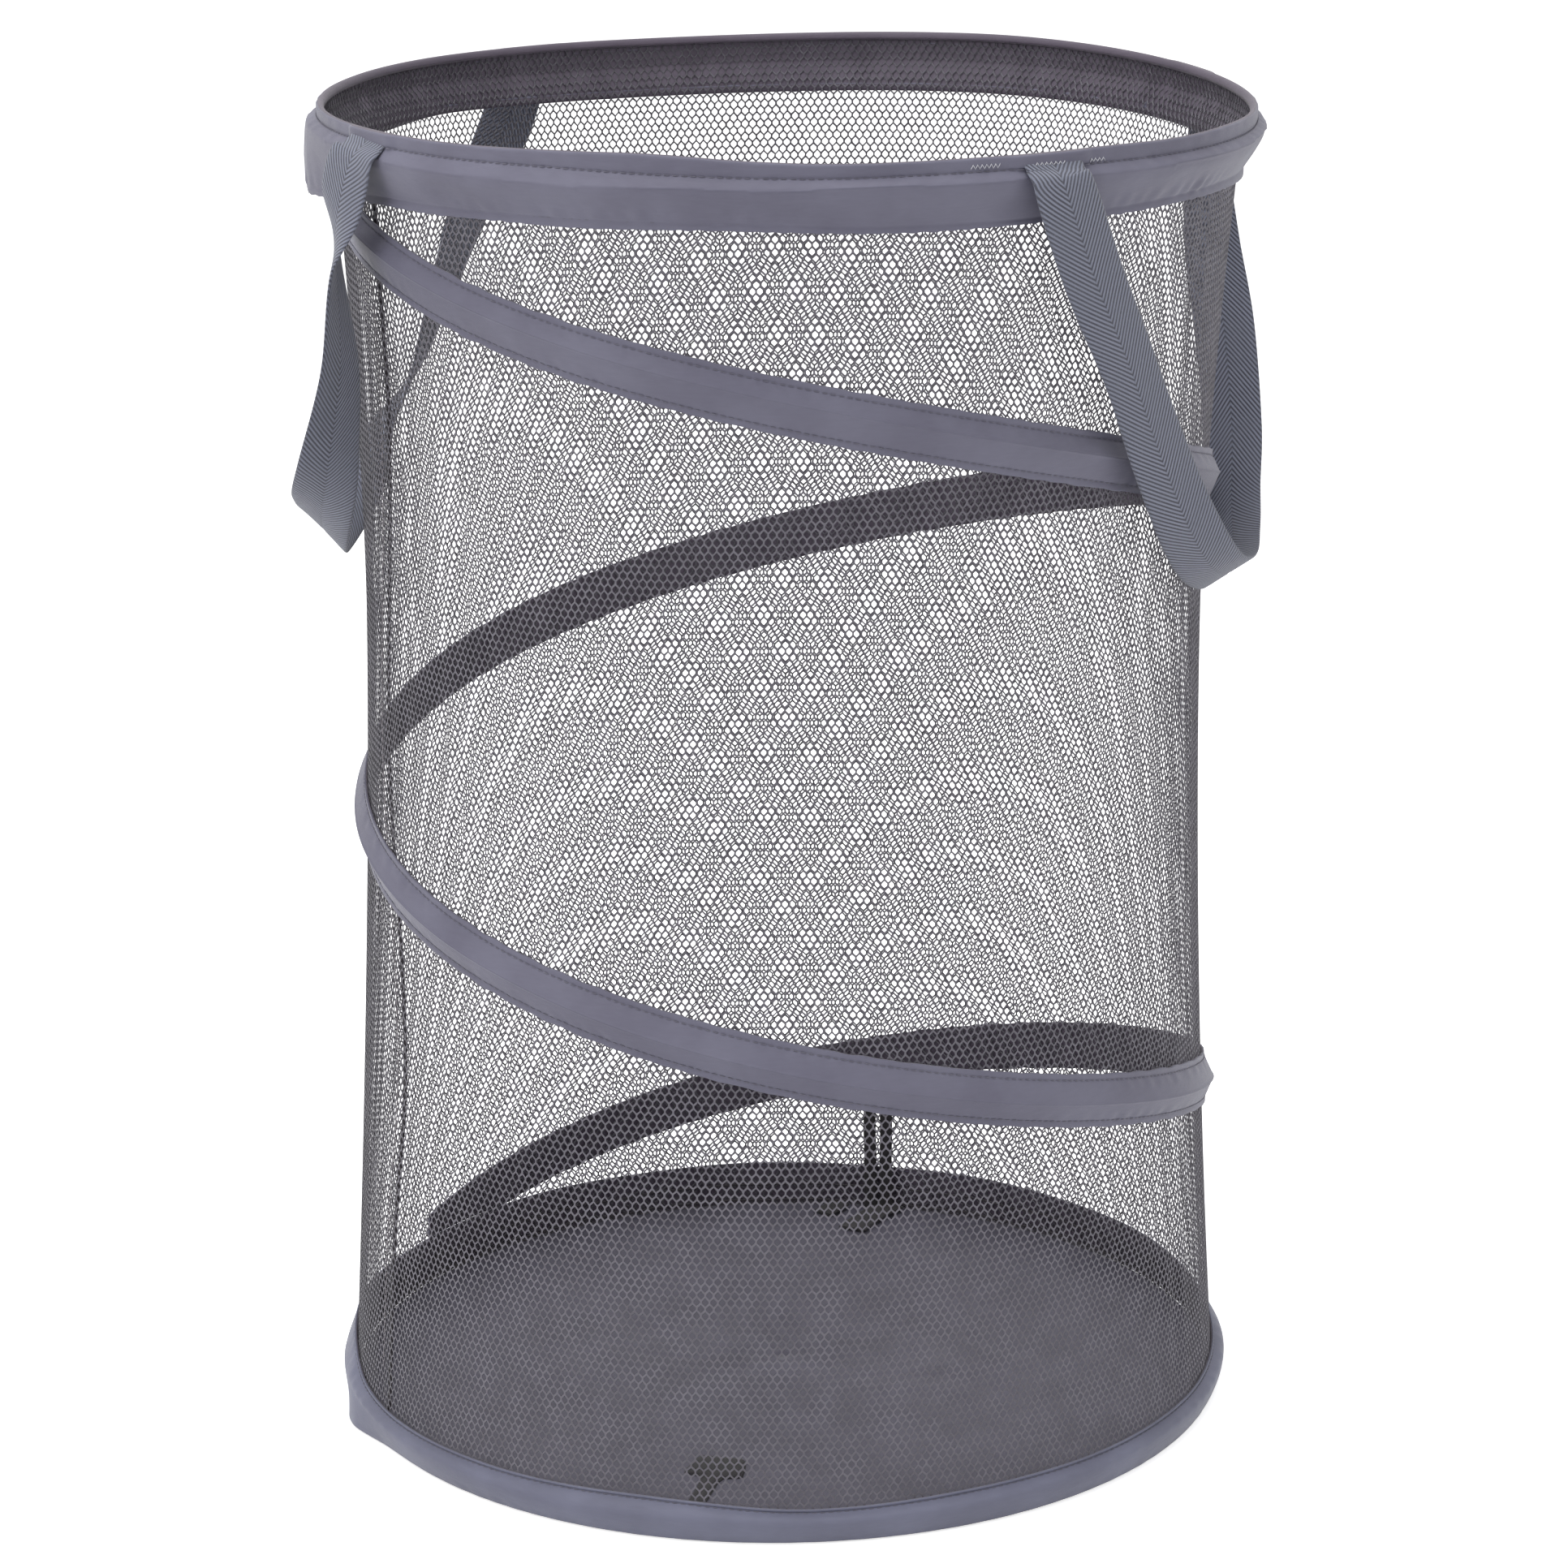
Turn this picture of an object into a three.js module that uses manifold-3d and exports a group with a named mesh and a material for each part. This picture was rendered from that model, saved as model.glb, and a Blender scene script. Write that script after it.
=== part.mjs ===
// Pop up laundry hamper: a hexagonal net wall held open by two spring hoops and one spiral wire.
// Lengths are millimetres and +Z is up. The origin is the centre of the floor panel's underside.
// Azimuths are degrees seen from above, 0 at the front (-Y), growing towards the right (+X).
import * as THREE from 'three';
import Module from 'manifold-3d';
import { mergeVertices } from 'three/addons/utils/BufferGeometryUtils.js';

// Overall form of the net wall, as radii of its outer face
const HEIGHT = 530;
const RIM_RADIUS = 180.9;
const NECK_RADIUS = 175.6;
const WAIST_RADIUS = 166.3;
const WAIST_HEIGHT = 330;
const BASE_RADIUS = 178.6;
const FLARE_POWER = 1.65;
const NET_THICKNESS = 0.8;

// Coarse windows in the wall that stand for the net's holes, with bars between them
const WINDOW_ROWS = 9;
const WINDOW_BAR_HEIGHT = 17;
const WINDOW_BAR_FACETS = 1;
const WINDOW_FACETS = 2;

// How the standing hamper sits: it leans to the right, and its rim is tipped and a little wavy
const LEAN = 7.5;
const LEAN_POWER = 1.5;
const RIM_TILT_DROP = 1.8;
const RIM_WAVE_HEIGHT = 1.6;
const RIM_WAVES = 3;
const WAVE_AZIMUTH = 140;

// Fits
const CLEARANCE = 0.35;
const SLEEVE_THICKNESS = 0.7;
const FACETS = 60;

// Hoops of spring wire, their ferrules, and the sleeves that hold them
const HOOP_WIRE_DIAMETER = 2.2;
const FERRULE_DIAMETER = 3.6;
const FERRULE_LENGTH = 18;
const TOP_FERRULE_AZIMUTH = 204;
const BOTTOM_FERRULE_AZIMUTH = -78;
const TOP_SLEEVE_WIDTH = 23.5;
const TOP_HOOP_DROP = 10;
const BOTTOM_SLEEVE_WIDTH = 21;
const BOTTOM_HOOP_RISE = 10;
const HEM_WIDTH = 4.5;
const CHANNEL_FOOT_SHARE = 1.7;

// Spiral wire, its end caps and its sleeve
const SPIRAL_SLEEVE_WIDTH = 20.8;
const SPIRAL_SLEEVE_START = -96;
const SPIRAL_SLEEVE_END = 600;
const SPIRAL_WIRE_DIAMETER = 2;
const SPIRAL_WIRE_START = -74;
const SPIRAL_WIRE_END = 578;
const CAP_DIAMETER = 3;
const CAP_LENGTH = 12;
const CAP_FLOOR = 2;
const RIDGE_START_SHARE = 0.36;
const RIDGE_END_SHARE = 0.6;

// Floor panel and the upright seam's tape
const FLOOR_THICKNESS = 1.2;
const SEAM_TAPE_WIDTH = 4;
const SEAM_TAPE_THICKNESS = 0.8;
const SEAM_TOP_AZIMUTH = -60;
const SEAM_BOTTOM_AZIMUTH = -73;

// Webbing handles and the sewn tacks at their four roots
const WEBBING_WIDTH = 25;
const WEBBING_THICKNESS = 1.3;
const HANDLE_DROP = 176;
const HANDLE_STEPS = 50;
const TACK_HEIGHT = 4;
const TACK_THICKNESS = 1.6;
const TACK_MARGIN = 1.5;

// Closure ties of black ribbon
const TIE_RIBBON_WIDTH = 5.6;
const TIE_THICKNESS = 1.2;
const REAR_TIE_AZIMUTH = 165.4;
const REAR_TIE_LENGTH = 56;
const REAR_TIE_SLOT = 1.6;
const FRONT_TIE_AZIMUTH = -12;
const FRONT_TIE_HEAD_WIDTH = 24;
const FRONT_TIE_HEAD_LENGTH = 17;
const FRONT_TIE_STEM_WIDTH = 7;
const FRONT_TIE_LENGTH = 68;
const FRONT_TIE_TIP_SHARE = 0.8;

const DEGREE = Math.PI / 180;
const TURN = 360;
const FACET = TURN / FACETS;
const NECK_HEIGHT = HEIGHT - TOP_SLEEVE_WIDTH;
const TOP_HOOP_HEIGHT = HEIGHT - TOP_HOOP_DROP;

// Flare of the wall from its waist, then a short swell where the net runs behind the top hoop
function smoothWallRadius(z) {
  if (z > NECK_HEIGHT) {
    const rise = Math.min((z - NECK_HEIGHT) / (TOP_HOOP_HEIGHT - NECK_HEIGHT), 1);
    return NECK_RADIUS + (RIM_RADIUS - NECK_RADIUS) * rise * rise * (3 - 2 * rise);
  }
  const [edgeRadius, edgeHeight] = z > WAIST_HEIGHT ? [NECK_RADIUS, NECK_HEIGHT] : [BASE_RADIUS, 0];
  const flareShare = (z - WAIST_HEIGHT) / (edgeHeight - WAIST_HEIGHT);
  return WAIST_RADIUS + (edgeRadius - WAIST_RADIUS) * flareShare ** FLARE_POWER;
}

// Lower and upper edges of the rows of windows, from the bottom sleeve to the top one
function windowEdges() {
  const pitch = (NECK_HEIGHT - BOTTOM_SLEEVE_WIDTH) / WINDOW_ROWS;
  return Array.from({ length: WINDOW_ROWS }, (unused, row) => {
    const low = BOTTOM_SLEEVE_WIDTH + pitch * row;
    return [low + WINDOW_BAR_HEIGHT * 0.5, low + pitch - WINDOW_BAR_HEIGHT * 0.5];
  });
}
const WINDOW_EDGES = windowEdges();

// Heights of the wall's bends: at the windows' edges, and evenly from the neck to the top hoop
function wallStations() {
  const steps = 4;
  const swell = Array.from({ length: steps }, (unused, i) => (
    NECK_HEIGHT + (TOP_HOOP_HEIGHT - NECK_HEIGHT) * (i / steps)));
  return [CLEARANCE, ...WINDOW_EDGES.flat(), ...swell, TOP_HOOP_HEIGHT, HEIGHT];
}
const STATIONS = wallStations().map((z) => [smoothWallRadius(z), z]);

// Radius of the net's outer face at a height, straight between its bends
function wallRadius(z) {
  const upper = Math.max(STATIONS.findIndex(([, height]) => height >= z), 1);
  const [[lowRadius, low], [highRadius, high]] = [STATIONS[upper - 1], STATIONS[upper]];
  return lowRadius + (highRadius - lowRadius) * ((z - low) / (high - low));
}

// A place given by azimuth, radius and height. Round pieces have flat facets, and what lies on
// them follows the facets.
function facetPoint(azimuth, radius, z) {
  const fromMiddle = azimuth - FACET * (Math.floor(azimuth / FACET) + 0.5);
  const flat = radius * Math.cos(FACET * 0.5 * DEGREE) / Math.cos(fromMiddle * DEGREE);
  return roundPoint(azimuth, flat, z);
}

function roundPoint(azimuth, radius, z) {
  return new THREE.Vector3(radius * Math.sin(azimuth * DEGREE), -radius * Math.cos(azimuth * DEGREE), z);
}

// Lean, tilt and wave of the standing hamper, from nothing at the floor to all at the rim
function settle(point) {
  const share = Math.max(point.z, 0) / HEIGHT;
  const reachShare = Math.hypot(point.x, point.y) / RIM_RADIUS;
  const azimuth = Math.atan2(point.x, -point.y);
  const wave = RIM_WAVE_HEIGHT * Math.cos(RIM_WAVES * (azimuth - WAVE_AZIMUTH * DEGREE));
  point.z += share * share * reachShare * (wave - RIM_TILT_DROP * Math.sin(azimuth));
  point.x += LEAN * share ** LEAN_POWER;
  return point;
}

function settleGeometry(geometry) {
  const position = geometry.getAttribute('position');
  const point = new THREE.Vector3();
  for (let i = 0; i < position.count; i += 1) {
    settle(point.fromBufferAttribute(position, i));
    position.setXYZ(i, point.x, point.y, point.z);
  }
  return geometry;
}

// Turns the faces over if they point into the body
function outward(geometry) {
  const position = geometry.getAttribute('position');
  const index = geometry.getIndex().array;
  const [a, b, c] = [new THREE.Vector3(), new THREE.Vector3(), new THREE.Vector3()];
  let volume = 0;
  for (let i = 0; i < index.length; i += 3) {
    a.fromBufferAttribute(position, index[i]);
    b.fromBufferAttribute(position, index[i + 1]);
    c.fromBufferAttribute(position, index[i + 2]);
    volume += a.dot(b.cross(c));
  }
  if (volume < 0) {
    for (let i = 0; i < index.length; i += 3) {
      [index[i], index[i + 1]] = [index[i + 1], index[i]];
    }
  }
  return geometry;
}

// A profile of [radius, height] that closes on itself, turned about the hamper's axis
function revolve(profile) {
  const points = [...profile, profile[0]].map(([radius, z]) => new THREE.Vector2(radius, z));
  return new THREE.LatheGeometry(points, FACETS).rotateX(TURN * 0.25 * DEGREE);
}

// A closed body through rings of points, with its two ends capped
function loft(rings, outline) {
  const count = rings[0].length;
  const index = [];
  for (let ring = 0; ring + 1 < rings.length; ring += 1) {
    for (let i = 0; i < count; i += 1) {
      const [a, b] = [ring * count + i, ring * count + ((i + 1) % count)];
      index.push(a, b, a + count, b, b + count, a + count);
    }
  }
  const end = (rings.length - 1) * count;
  for (const [a, b, c] of THREE.ShapeUtils.triangulateShape(outline, [])) {
    index.push(b, a, c, end + a, end + b, end + c);
  }
  const geometry = new THREE.BufferGeometry().setFromPoints(rings.flat());
  geometry.setIndex(index);
  return outward(geometry);
}

// A section of [radius, height] carried round the hamper through a list of azimuths
function sweepAround(azimuths, sectionAt) {
  const rings = azimuths.map((azimuth) => (
    sectionAt(azimuth).map(([radius, z]) => facetPoint(azimuth, radius, z))));
  const outline = sectionAt(azimuths[0]).map(([radius, z]) => new THREE.Vector2(radius, z));
  if (THREE.ShapeUtils.isClockWise(outline)) {
    return loft(rings.map((ring) => [...ring].reverse()), [...outline].reverse());
  }
  return loft(rings, outline);
}

// The azimuths at which a piece bends between its two ends: those ends and the facets' edges
function bends(start, end) {
  const edges = [];
  for (let edge = Math.floor(start / FACET + 1) * FACET; edge < end; edge += FACET) {
    edges.push(edge);
  }
  return [start, ...edges, end];
}

function circleSection(centre, radius, sides) {
  return Array.from({ length: sides }, (unused, i) => {
    const angle = TURN * DEGREE * (i + 0.5) / sides;
    return [centre[0] + radius * Math.cos(angle), centre[1] + radius * Math.sin(angle)];
  });
}

// A strip of fabric: its inner line of [radius, height] from top to bottom, and the same line
// moved out by the fabric's thickness
function stripSection(inner) {
  const outer = inner.map(([radius, z], i) => {
    const before = inner[Math.max(i - 1, 0)];
    const after = inner[Math.min(i + 1, inner.length - 1)];
    const run = new THREE.Vector2(after[0] - before[0], after[1] - before[1]).normalize();
    return [radius - run.y * SLEEVE_THICKNESS, z + run.x * SLEEVE_THICKNESS];
  });
  return [...inner, ...outer.reverse()];
}

function onNet(z) {
  return [wallRadius(z) + CLEARANCE, z];
}

// Line of a fabric channel round what it holds, from its upper side to its lower side
const CHANNEL_ANGLE = 30;
function channelReach(heldDiameter) {
  return (heldDiameter * 0.5 + CLEARANCE) / Math.cos(CHANNEL_ANGLE * 0.5 * DEGREE);
}

function channelLine(centre, heldDiameter) {
  const reach = channelReach(heldDiameter);
  return [1.5, 0.5, -0.5, -1.5].map((steps) => {
    const angle = steps * CHANNEL_ANGLE * DEGREE;
    return [centre[0] + reach * Math.cos(angle), centre[1] + reach * Math.sin(angle)];
  });
}

// Centre of a wire whose ferrule or cap lies against the net
function wireCentre(z, heldDiameter) {
  const half = heldDiameter * 0.5;
  const wall = Math.max(wallRadius(z - half), wallRadius(z), wallRadius(z + half));
  return [wall + CLEARANCE + half, z];
}
const TOP_WIRE = wireCentre(TOP_HOOP_HEIGHT, FERRULE_DIAMETER);
const BOTTOM_WIRE = wireCentre(BOTTOM_HOOP_RISE, FERRULE_DIAMETER);

function hoopSleeve(wire, above, below) {
  return revolve(stripSection([
    ...above.map(onNet), ...channelLine(wire, FERRULE_DIAMETER), ...below.map(onNet)]));
}

function topSleeve() {
  const foot = TOP_HOOP_HEIGHT - FERRULE_DIAMETER * CHANNEL_FOOT_SHARE;
  return hoopSleeve(TOP_WIRE, [HEIGHT, HEIGHT - HEM_WIDTH],
    [foot, (foot + NECK_HEIGHT) * 0.5, NECK_HEIGHT]);
}

function bottomSleeve() {
  const hem = BOTTOM_SLEEVE_WIDTH - HEM_WIDTH;
  return hoopSleeve(BOTTOM_WIRE, [BOTTOM_SLEEVE_WIDTH, hem], [HEM_WIDTH, CLEARANCE]);
}

function hoopWire(wire) {
  return revolve(circleSection(wire, HOOP_WIRE_DIAMETER * 0.5, 8));
}

const wasm = await Module();
wasm.setup();

function toSolid(geometry) {
  const bare = geometry.clone();
  bare.deleteAttribute('normal');
  bare.deleteAttribute('uv');
  const merged = mergeVertices(bare);
  return new wasm.Manifold(new wasm.Mesh({
    numProp: 3,
    vertProperties: new Float32Array(merged.getAttribute('position').array),
    triVerts: new Uint32Array(merged.getIndex().array),
  }));
}

function cut(geometry, tool) {
  const mesh = toSolid(geometry).subtract(toSolid(tool)).getMesh();
  const result = new THREE.BufferGeometry();
  result.setAttribute('position', new THREE.BufferAttribute(mesh.vertProperties, 3));
  result.setIndex(new THREE.BufferAttribute(mesh.triVerts, 1));
  return result;
}

// A crimped tube round the joint of a hoop's two wire ends
function hoopFerrule(wire, azimuth) {
  const half = FERRULE_LENGTH / wire[0] / DEGREE * 0.5;
  const bore = HOOP_WIRE_DIAMETER * 0.5 + CLEARANCE;
  const body = sweepAround(bends(azimuth - half, azimuth + half),
    () => circleSection(wire, FERRULE_DIAMETER * 0.5, 8));
  const core = sweepAround(bends(azimuth - half * 2, azimuth + half * 2),
    () => circleSection(wire, bore, 8));
  return cut(body, core);
}

// Height of the spiral sleeve's middle. It falls evenly, left-handed, from the hem of the top
// sleeve to the hem of the bottom one.
const SPIRAL_FALL = (NECK_HEIGHT - BOTTOM_SLEEVE_WIDTH) / (SPIRAL_SLEEVE_END - SPIRAL_SLEEVE_START);
function spiralHeight(azimuth) {
  return NECK_HEIGHT - SPIRAL_FALL * (azimuth - SPIRAL_SLEEVE_START);
}

const SPIRAL_SLOPE = Math.atan(SPIRAL_FALL / (WAIST_RADIUS * DEGREE));
const SPIRAL_UPRIGHT_WIDTH = SPIRAL_SLEEVE_WIDTH / Math.cos(SPIRAL_SLOPE);

// The wire runs in the upper part of the sleeve at first, and in its lower part further down
function spiralWireHeight(azimuth) {
  const passed = (azimuth - SPIRAL_SLEEVE_START) / (SPIRAL_SLEEVE_END - SPIRAL_SLEEVE_START);
  const ridgeShare = RIDGE_START_SHARE + (RIDGE_END_SHARE - RIDGE_START_SHARE) * passed;
  return spiralHeight(azimuth) + SPIRAL_UPRIGHT_WIDTH * (0.5 - ridgeShare);
}

function spiralWireCentre(azimuth) {
  return wireCentre(spiralWireHeight(azimuth), CAP_DIAMETER);
}

function spiralWire() {
  return sweepAround(bends(SPIRAL_WIRE_START, SPIRAL_WIRE_END),
    (azimuth) => circleSection(spiralWireCentre(azimuth), SPIRAL_WIRE_DIAMETER * 0.5, 6));
}

// A moulded cap over a wire end. It reaches past the wire's end by its floor.
function spiralCap(wireEnd, direction) {
  const perMillimetre = 1 / (WAIST_RADIUS * DEGREE);
  const tip = wireEnd + direction * (CAP_FLOOR + CLEARANCE) * perMillimetre;
  const mouth = tip - direction * CAP_LENGTH * perMillimetre;
  const floor = wireEnd + direction * CLEARANCE * perMillimetre;
  const past = mouth - direction * CAP_LENGTH * perMillimetre;
  const [bodyEnds, boreEnds] = [[tip, mouth], [floor, past]].map((ends) => ends.sort((a, b) => a - b));
  const bore = SPIRAL_WIRE_DIAMETER * 0.5 + CLEARANCE * 0.5;
  const body = sweepAround(bends(...bodyEnds),
    (azimuth) => circleSection(spiralWireCentre(azimuth), CAP_DIAMETER * 0.5, 8));
  const core = sweepAround(bends(...boreEnds),
    (azimuth) => circleSection(spiralWireCentre(azimuth), bore, 8));
  return cut(body, core);
}

// The spiral's fabric channel. Its ends are cut along the hems of the two hoop sleeves.
function spiralSleeve() {
  const [ceiling, ground] = [NECK_HEIGHT - CLEARANCE, BOTTOM_SLEEVE_WIDTH + CLEARANCE];
  const section = (azimuth) => {
    const middle = spiralHeight(azimuth);
    const top = Math.min(middle + SPIRAL_UPRIGHT_WIDTH * 0.5, ceiling);
    const bottom = Math.max(middle - SPIRAL_UPRIGHT_WIDTH * 0.5, ground);
    const squeeze = (top - bottom) / SPIRAL_UPRIGHT_WIDTH;
    const centre = wireCentre(spiralWireHeight(azimuth), CAP_DIAMETER);
    const pastWire = Math.max(SPIRAL_WIRE_START - azimuth, azimuth - SPIRAL_WIRE_END);
    const pastEnd = Math.max(pastWire - 2 * FACET, 0);
    const bulge = Math.max(1 - pastEnd / FACET, 0);
    const ridge = channelLine(centre, CAP_DIAMETER).map(([radius, z]) => {
      const height = squeeze < 1 ? top - (middle + SPIRAL_UPRIGHT_WIDTH * 0.5 - z) * squeeze : z;
      const [flat] = onNet(height);
      return [flat + (radius - flat) * bulge, height];
    });
    const foot = CAP_DIAMETER * squeeze;
    return stripSection([
      onNet(top), onNet(ridge[0][1] + foot), ...ridge, onNet(ridge[3][1] - foot), onNet(bottom)]);
  };
  return sweepAround(bends(SPIRAL_SLEEVE_START, SPIRAL_SLEEVE_END), section);
}

// The net wall: a closed shell of one outer and one inner face for each facet and height, left
// out where a window is, with a wall of the net's thickness round each window and along both ends
function sideMesh() {
  const points = STATIONS.flatMap(([radius, z]) => (
    Array.from({ length: FACETS }, (unused, facet) => [
      roundPoint(facet * FACET, radius, z), roundPoint(facet * FACET, radius - NET_THICKNESS, z)])).flat());
  const corner = (station, facet, side) => (station * FACETS + ((facet + FACETS) % FACETS)) * 2 + side;
  const windowRows = new Set(WINDOW_EDGES.map(([low]) => STATIONS.findIndex(([, z]) => z === low)));
  const span = WINDOW_BAR_FACETS + WINDOW_FACETS;
  const isCloth = (station, facet) => {
    const inWall = station >= 0 && station + 1 < STATIONS.length;
    return inWall && !(windowRows.has(station) && (facet + span) % span >= WINDOW_BAR_FACETS);
  };
  const index = [];
  const quad = (a, b, c, d) => index.push(a, b, c, a, c, d);
  for (let station = 0; station + 1 < STATIONS.length; station += 1) {
    for (let facet = 0; facet < FACETS; facet += 1) {
      if (!isCloth(station, facet)) continue;
      const ring = [[station, facet], [station, facet + 1], [station + 1, facet + 1], [station + 1, facet]];
      const [outer, inner] = [0, 1].map((side) => ring.map(([row, column]) => corner(row, column, side)));
      quad(...outer);
      quad(...[...inner].reverse());
      const beside = [[station - 1, facet], [station, facet + 1], [station + 1, facet], [station, facet - 1]];
      beside.forEach(([row, column], edge) => {
        if (isCloth(row, column)) return;
        const next = (edge + 1) % ring.length;
        quad(outer[next], outer[edge], inner[edge], inner[next]);
      });
    }
  }
  return outward(new THREE.BufferGeometry().setFromPoints(points).setIndex(index));
}

function floorPanel() {
  const radius = wallRadius(CLEARANCE) - NET_THICKNESS - CLEARANCE;
  const profile = [[0, 0], [radius, 0], [radius, FLOOR_THICKNESS], [0, FLOOR_THICKNESS]];
  const points = profile.map(([reach, z]) => new THREE.Vector2(reach, z));
  return new THREE.LatheGeometry(points, FACETS).rotateX(TURN * 0.25 * DEGREE);
}

// Tape along the seam, inside the net and bent with it. It wanders to the left on its way down.
function seamTape() {
  const low = FLOOR_THICKNESS + CLEARANCE;
  const heights = [low, ...STATIONS.map(([, z]) => z).filter((z) => z > low + FLOOR_THICKNESS)];
  const rings = heights.map((z) => {
    const climb = (z - low) / (HEIGHT - low);
    const azimuth = SEAM_BOTTOM_AZIMUTH + (SEAM_TOP_AZIMUTH - SEAM_BOTTOM_AZIMUTH) * climb;
    const outer = wallRadius(z) - NET_THICKNESS - CLEARANCE;
    const half = SEAM_TAPE_WIDTH / outer / DEGREE * 0.5;
    const inner = outer - SEAM_TAPE_THICKNESS;
    return [[-half, outer], [half, outer], [half, inner], [-half, inner]].map(([turn, radius]) => (
      facetPoint(azimuth + turn, radius, z)));
  });
  const outline = [[0, 0], [1, 0], [1, 1], [0, 1]].map(([x, y]) => new THREE.Vector2(x, y));
  return loft(rings, outline);
}

// Where the webbing hangs over the widest part of the top sleeve
const SLEEVE_REACH = TOP_WIRE[0] + channelReach(FERRULE_DIAMETER) + SLEEVE_THICKNESS;
const ROOT_HEIGHT = HEIGHT - HEM_WIDTH - CLEARANCE * 2 - WEBBING_THICKNESS * 0.5;
const TACK_RADIUS = wallRadius(HEIGHT) + CLEARANCE * 2 + SLEEVE_THICKNESS;
const ROOT_RADIUS = TACK_RADIUS + TACK_THICKNESS + WEBBING_THICKNESS * 0.5;
const HANG_RADIUS = SLEEVE_REACH + CLEARANCE * 2 + WEBBING_THICKNESS * 0.5;

// Routes of the two loops from their front root to their rear root. Each place has an azimuth,
// the drop below the root as a share of the loop's drop, the stand-off from the widest part of the
// sleeve as a share of the webbing's width (null where it is sewn to its tack), the turn of the
// webbing's width about the upright, and the rise of its outer edge, both in degrees.
const HANDLE_SHARES = {
  left: [
    [-58, 0, null, 0, 0], [-58, 0.03, 0.05, 6, 0], [-60, 0.1, 0.12, 12, 0],
    [-63, 0.245, 0.08, -27, 0], [-64, 0.48, 0, -55, 0], [-70, 0.72, 0, -78, 10],
    [-80, 0.87, 0.04, -84, 35], [-93, 0.96, 0.08, -92, 52], [-106, 0.92, 0.02, -118, 35],
    [-115, 0.82, -0.04, -144, 10], [-124, 0.7, -0.06, -152, 0], [-129, 0.56, -0.04, -160, 0],
    [-135, 0.355, 0, -172, 0], [-140, 0.136, 0.03, -183, 0], [-142, 0.03, 0.03, -180, 0],
    [-142, 0, null, -180, 0],
  ],
  right: [
    [31, 0, null, 0, 0], [31, 0.03, 0.03, 0, 0], [36.5, 0.245, -0.06, -5, 0],
    [42.5, 0.435, -0.12, -5, 0], [48.5, 0.63, -0.14, -14, 0], [56.5, 0.83, -0.08, -30, 5],
    [65, 0.945, 0.02, -56, 15], [77, 1, 0.1, -88, 22], [89, 0.99, 0.1, -118, 14],
    [98, 0.92, 0.06, -132, 4], [103, 0.79, 0.02, -128, 0], [107.5, 0.57, 0, -128, 0],
    [112, 0.38, 0, -145, 0], [114.5, 0.2, 0.03, -166, 0], [115, 0.03, 0.03, -180, 0],
    [115, 0, null, -180, 0],
  ],
};

// Webbing carried along the route, its width turned about the route from the sewn roots
function handle(placeShares) {
  const points = placeShares.map(([azimuth, dropShare, standOffShare]) => {
    const hang = HANG_RADIUS + standOffShare * WEBBING_WIDTH;
    const radius = standOffShare === null ? ROOT_RADIUS : hang;
    return roundPoint(azimuth, radius, ROOT_HEIGHT - dropShare * HANDLE_DROP);
  });
  const route = new THREE.CatmullRomCurve3(points, false, 'centripetal');
  const turns = new THREE.CatmullRomCurve3(placeShares.map(([azimuth, , , turn, rise]) => (
    new THREE.Vector3(azimuth, turn, rise))), false, 'centripetal');
  const corners = [[-0.5, -0.5], [0.5, -0.5], [0.5, 0.5], [-0.5, 0.5]];
  const rings = Array.from({ length: HANDLE_STEPS + 1 }, (unused, i) => {
    const point = route.getPoint(i / HANDLE_STEPS);
    const along = route.getTangent(i / HANDLE_STEPS);
    const place = turns.getPoint(i / HANDLE_STEPS);
    const outwards = roundPoint(place.x, 1, 0);
    const side = new THREE.Vector3(-outwards.y, outwards.x, 0);
    const angle = place.y * DEGREE;
    const width = side.multiplyScalar(Math.cos(angle)).addScaledVector(outwards, -Math.sin(angle));
    width.multiplyScalar(Math.cos(place.z * DEGREE));
    width.z += Math.sin(place.z * DEGREE);
    width.addScaledVector(along, -width.dot(along)).normalize();
    const thick = new THREE.Vector3().crossVectors(along, width);
    return corners.map(([across, through]) => point.clone()
      .addScaledVector(width, across * WEBBING_WIDTH)
      .addScaledVector(thick, through * WEBBING_THICKNESS));
  });
  return loft(rings, corners.map(([x, y]) => new THREE.Vector2(x, y)));
}

// The sewn end of the webbing, flat on the upper strip of the top sleeve
function handleTack(azimuth) {
  const half = (WEBBING_WIDTH * 0.5 + TACK_MARGIN) / RIM_RADIUS / DEGREE;
  const [low, high] = [HEIGHT - HEM_WIDTH, HEIGHT - HEM_WIDTH + TACK_HEIGHT];
  const outer = TACK_RADIUS + TACK_THICKNESS;
  return sweepAround(bends(azimuth - half, azimuth + half),
    () => [[TACK_RADIUS, low], [outer, low], [outer, high], [TACK_RADIUS, high]]);
}

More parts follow.
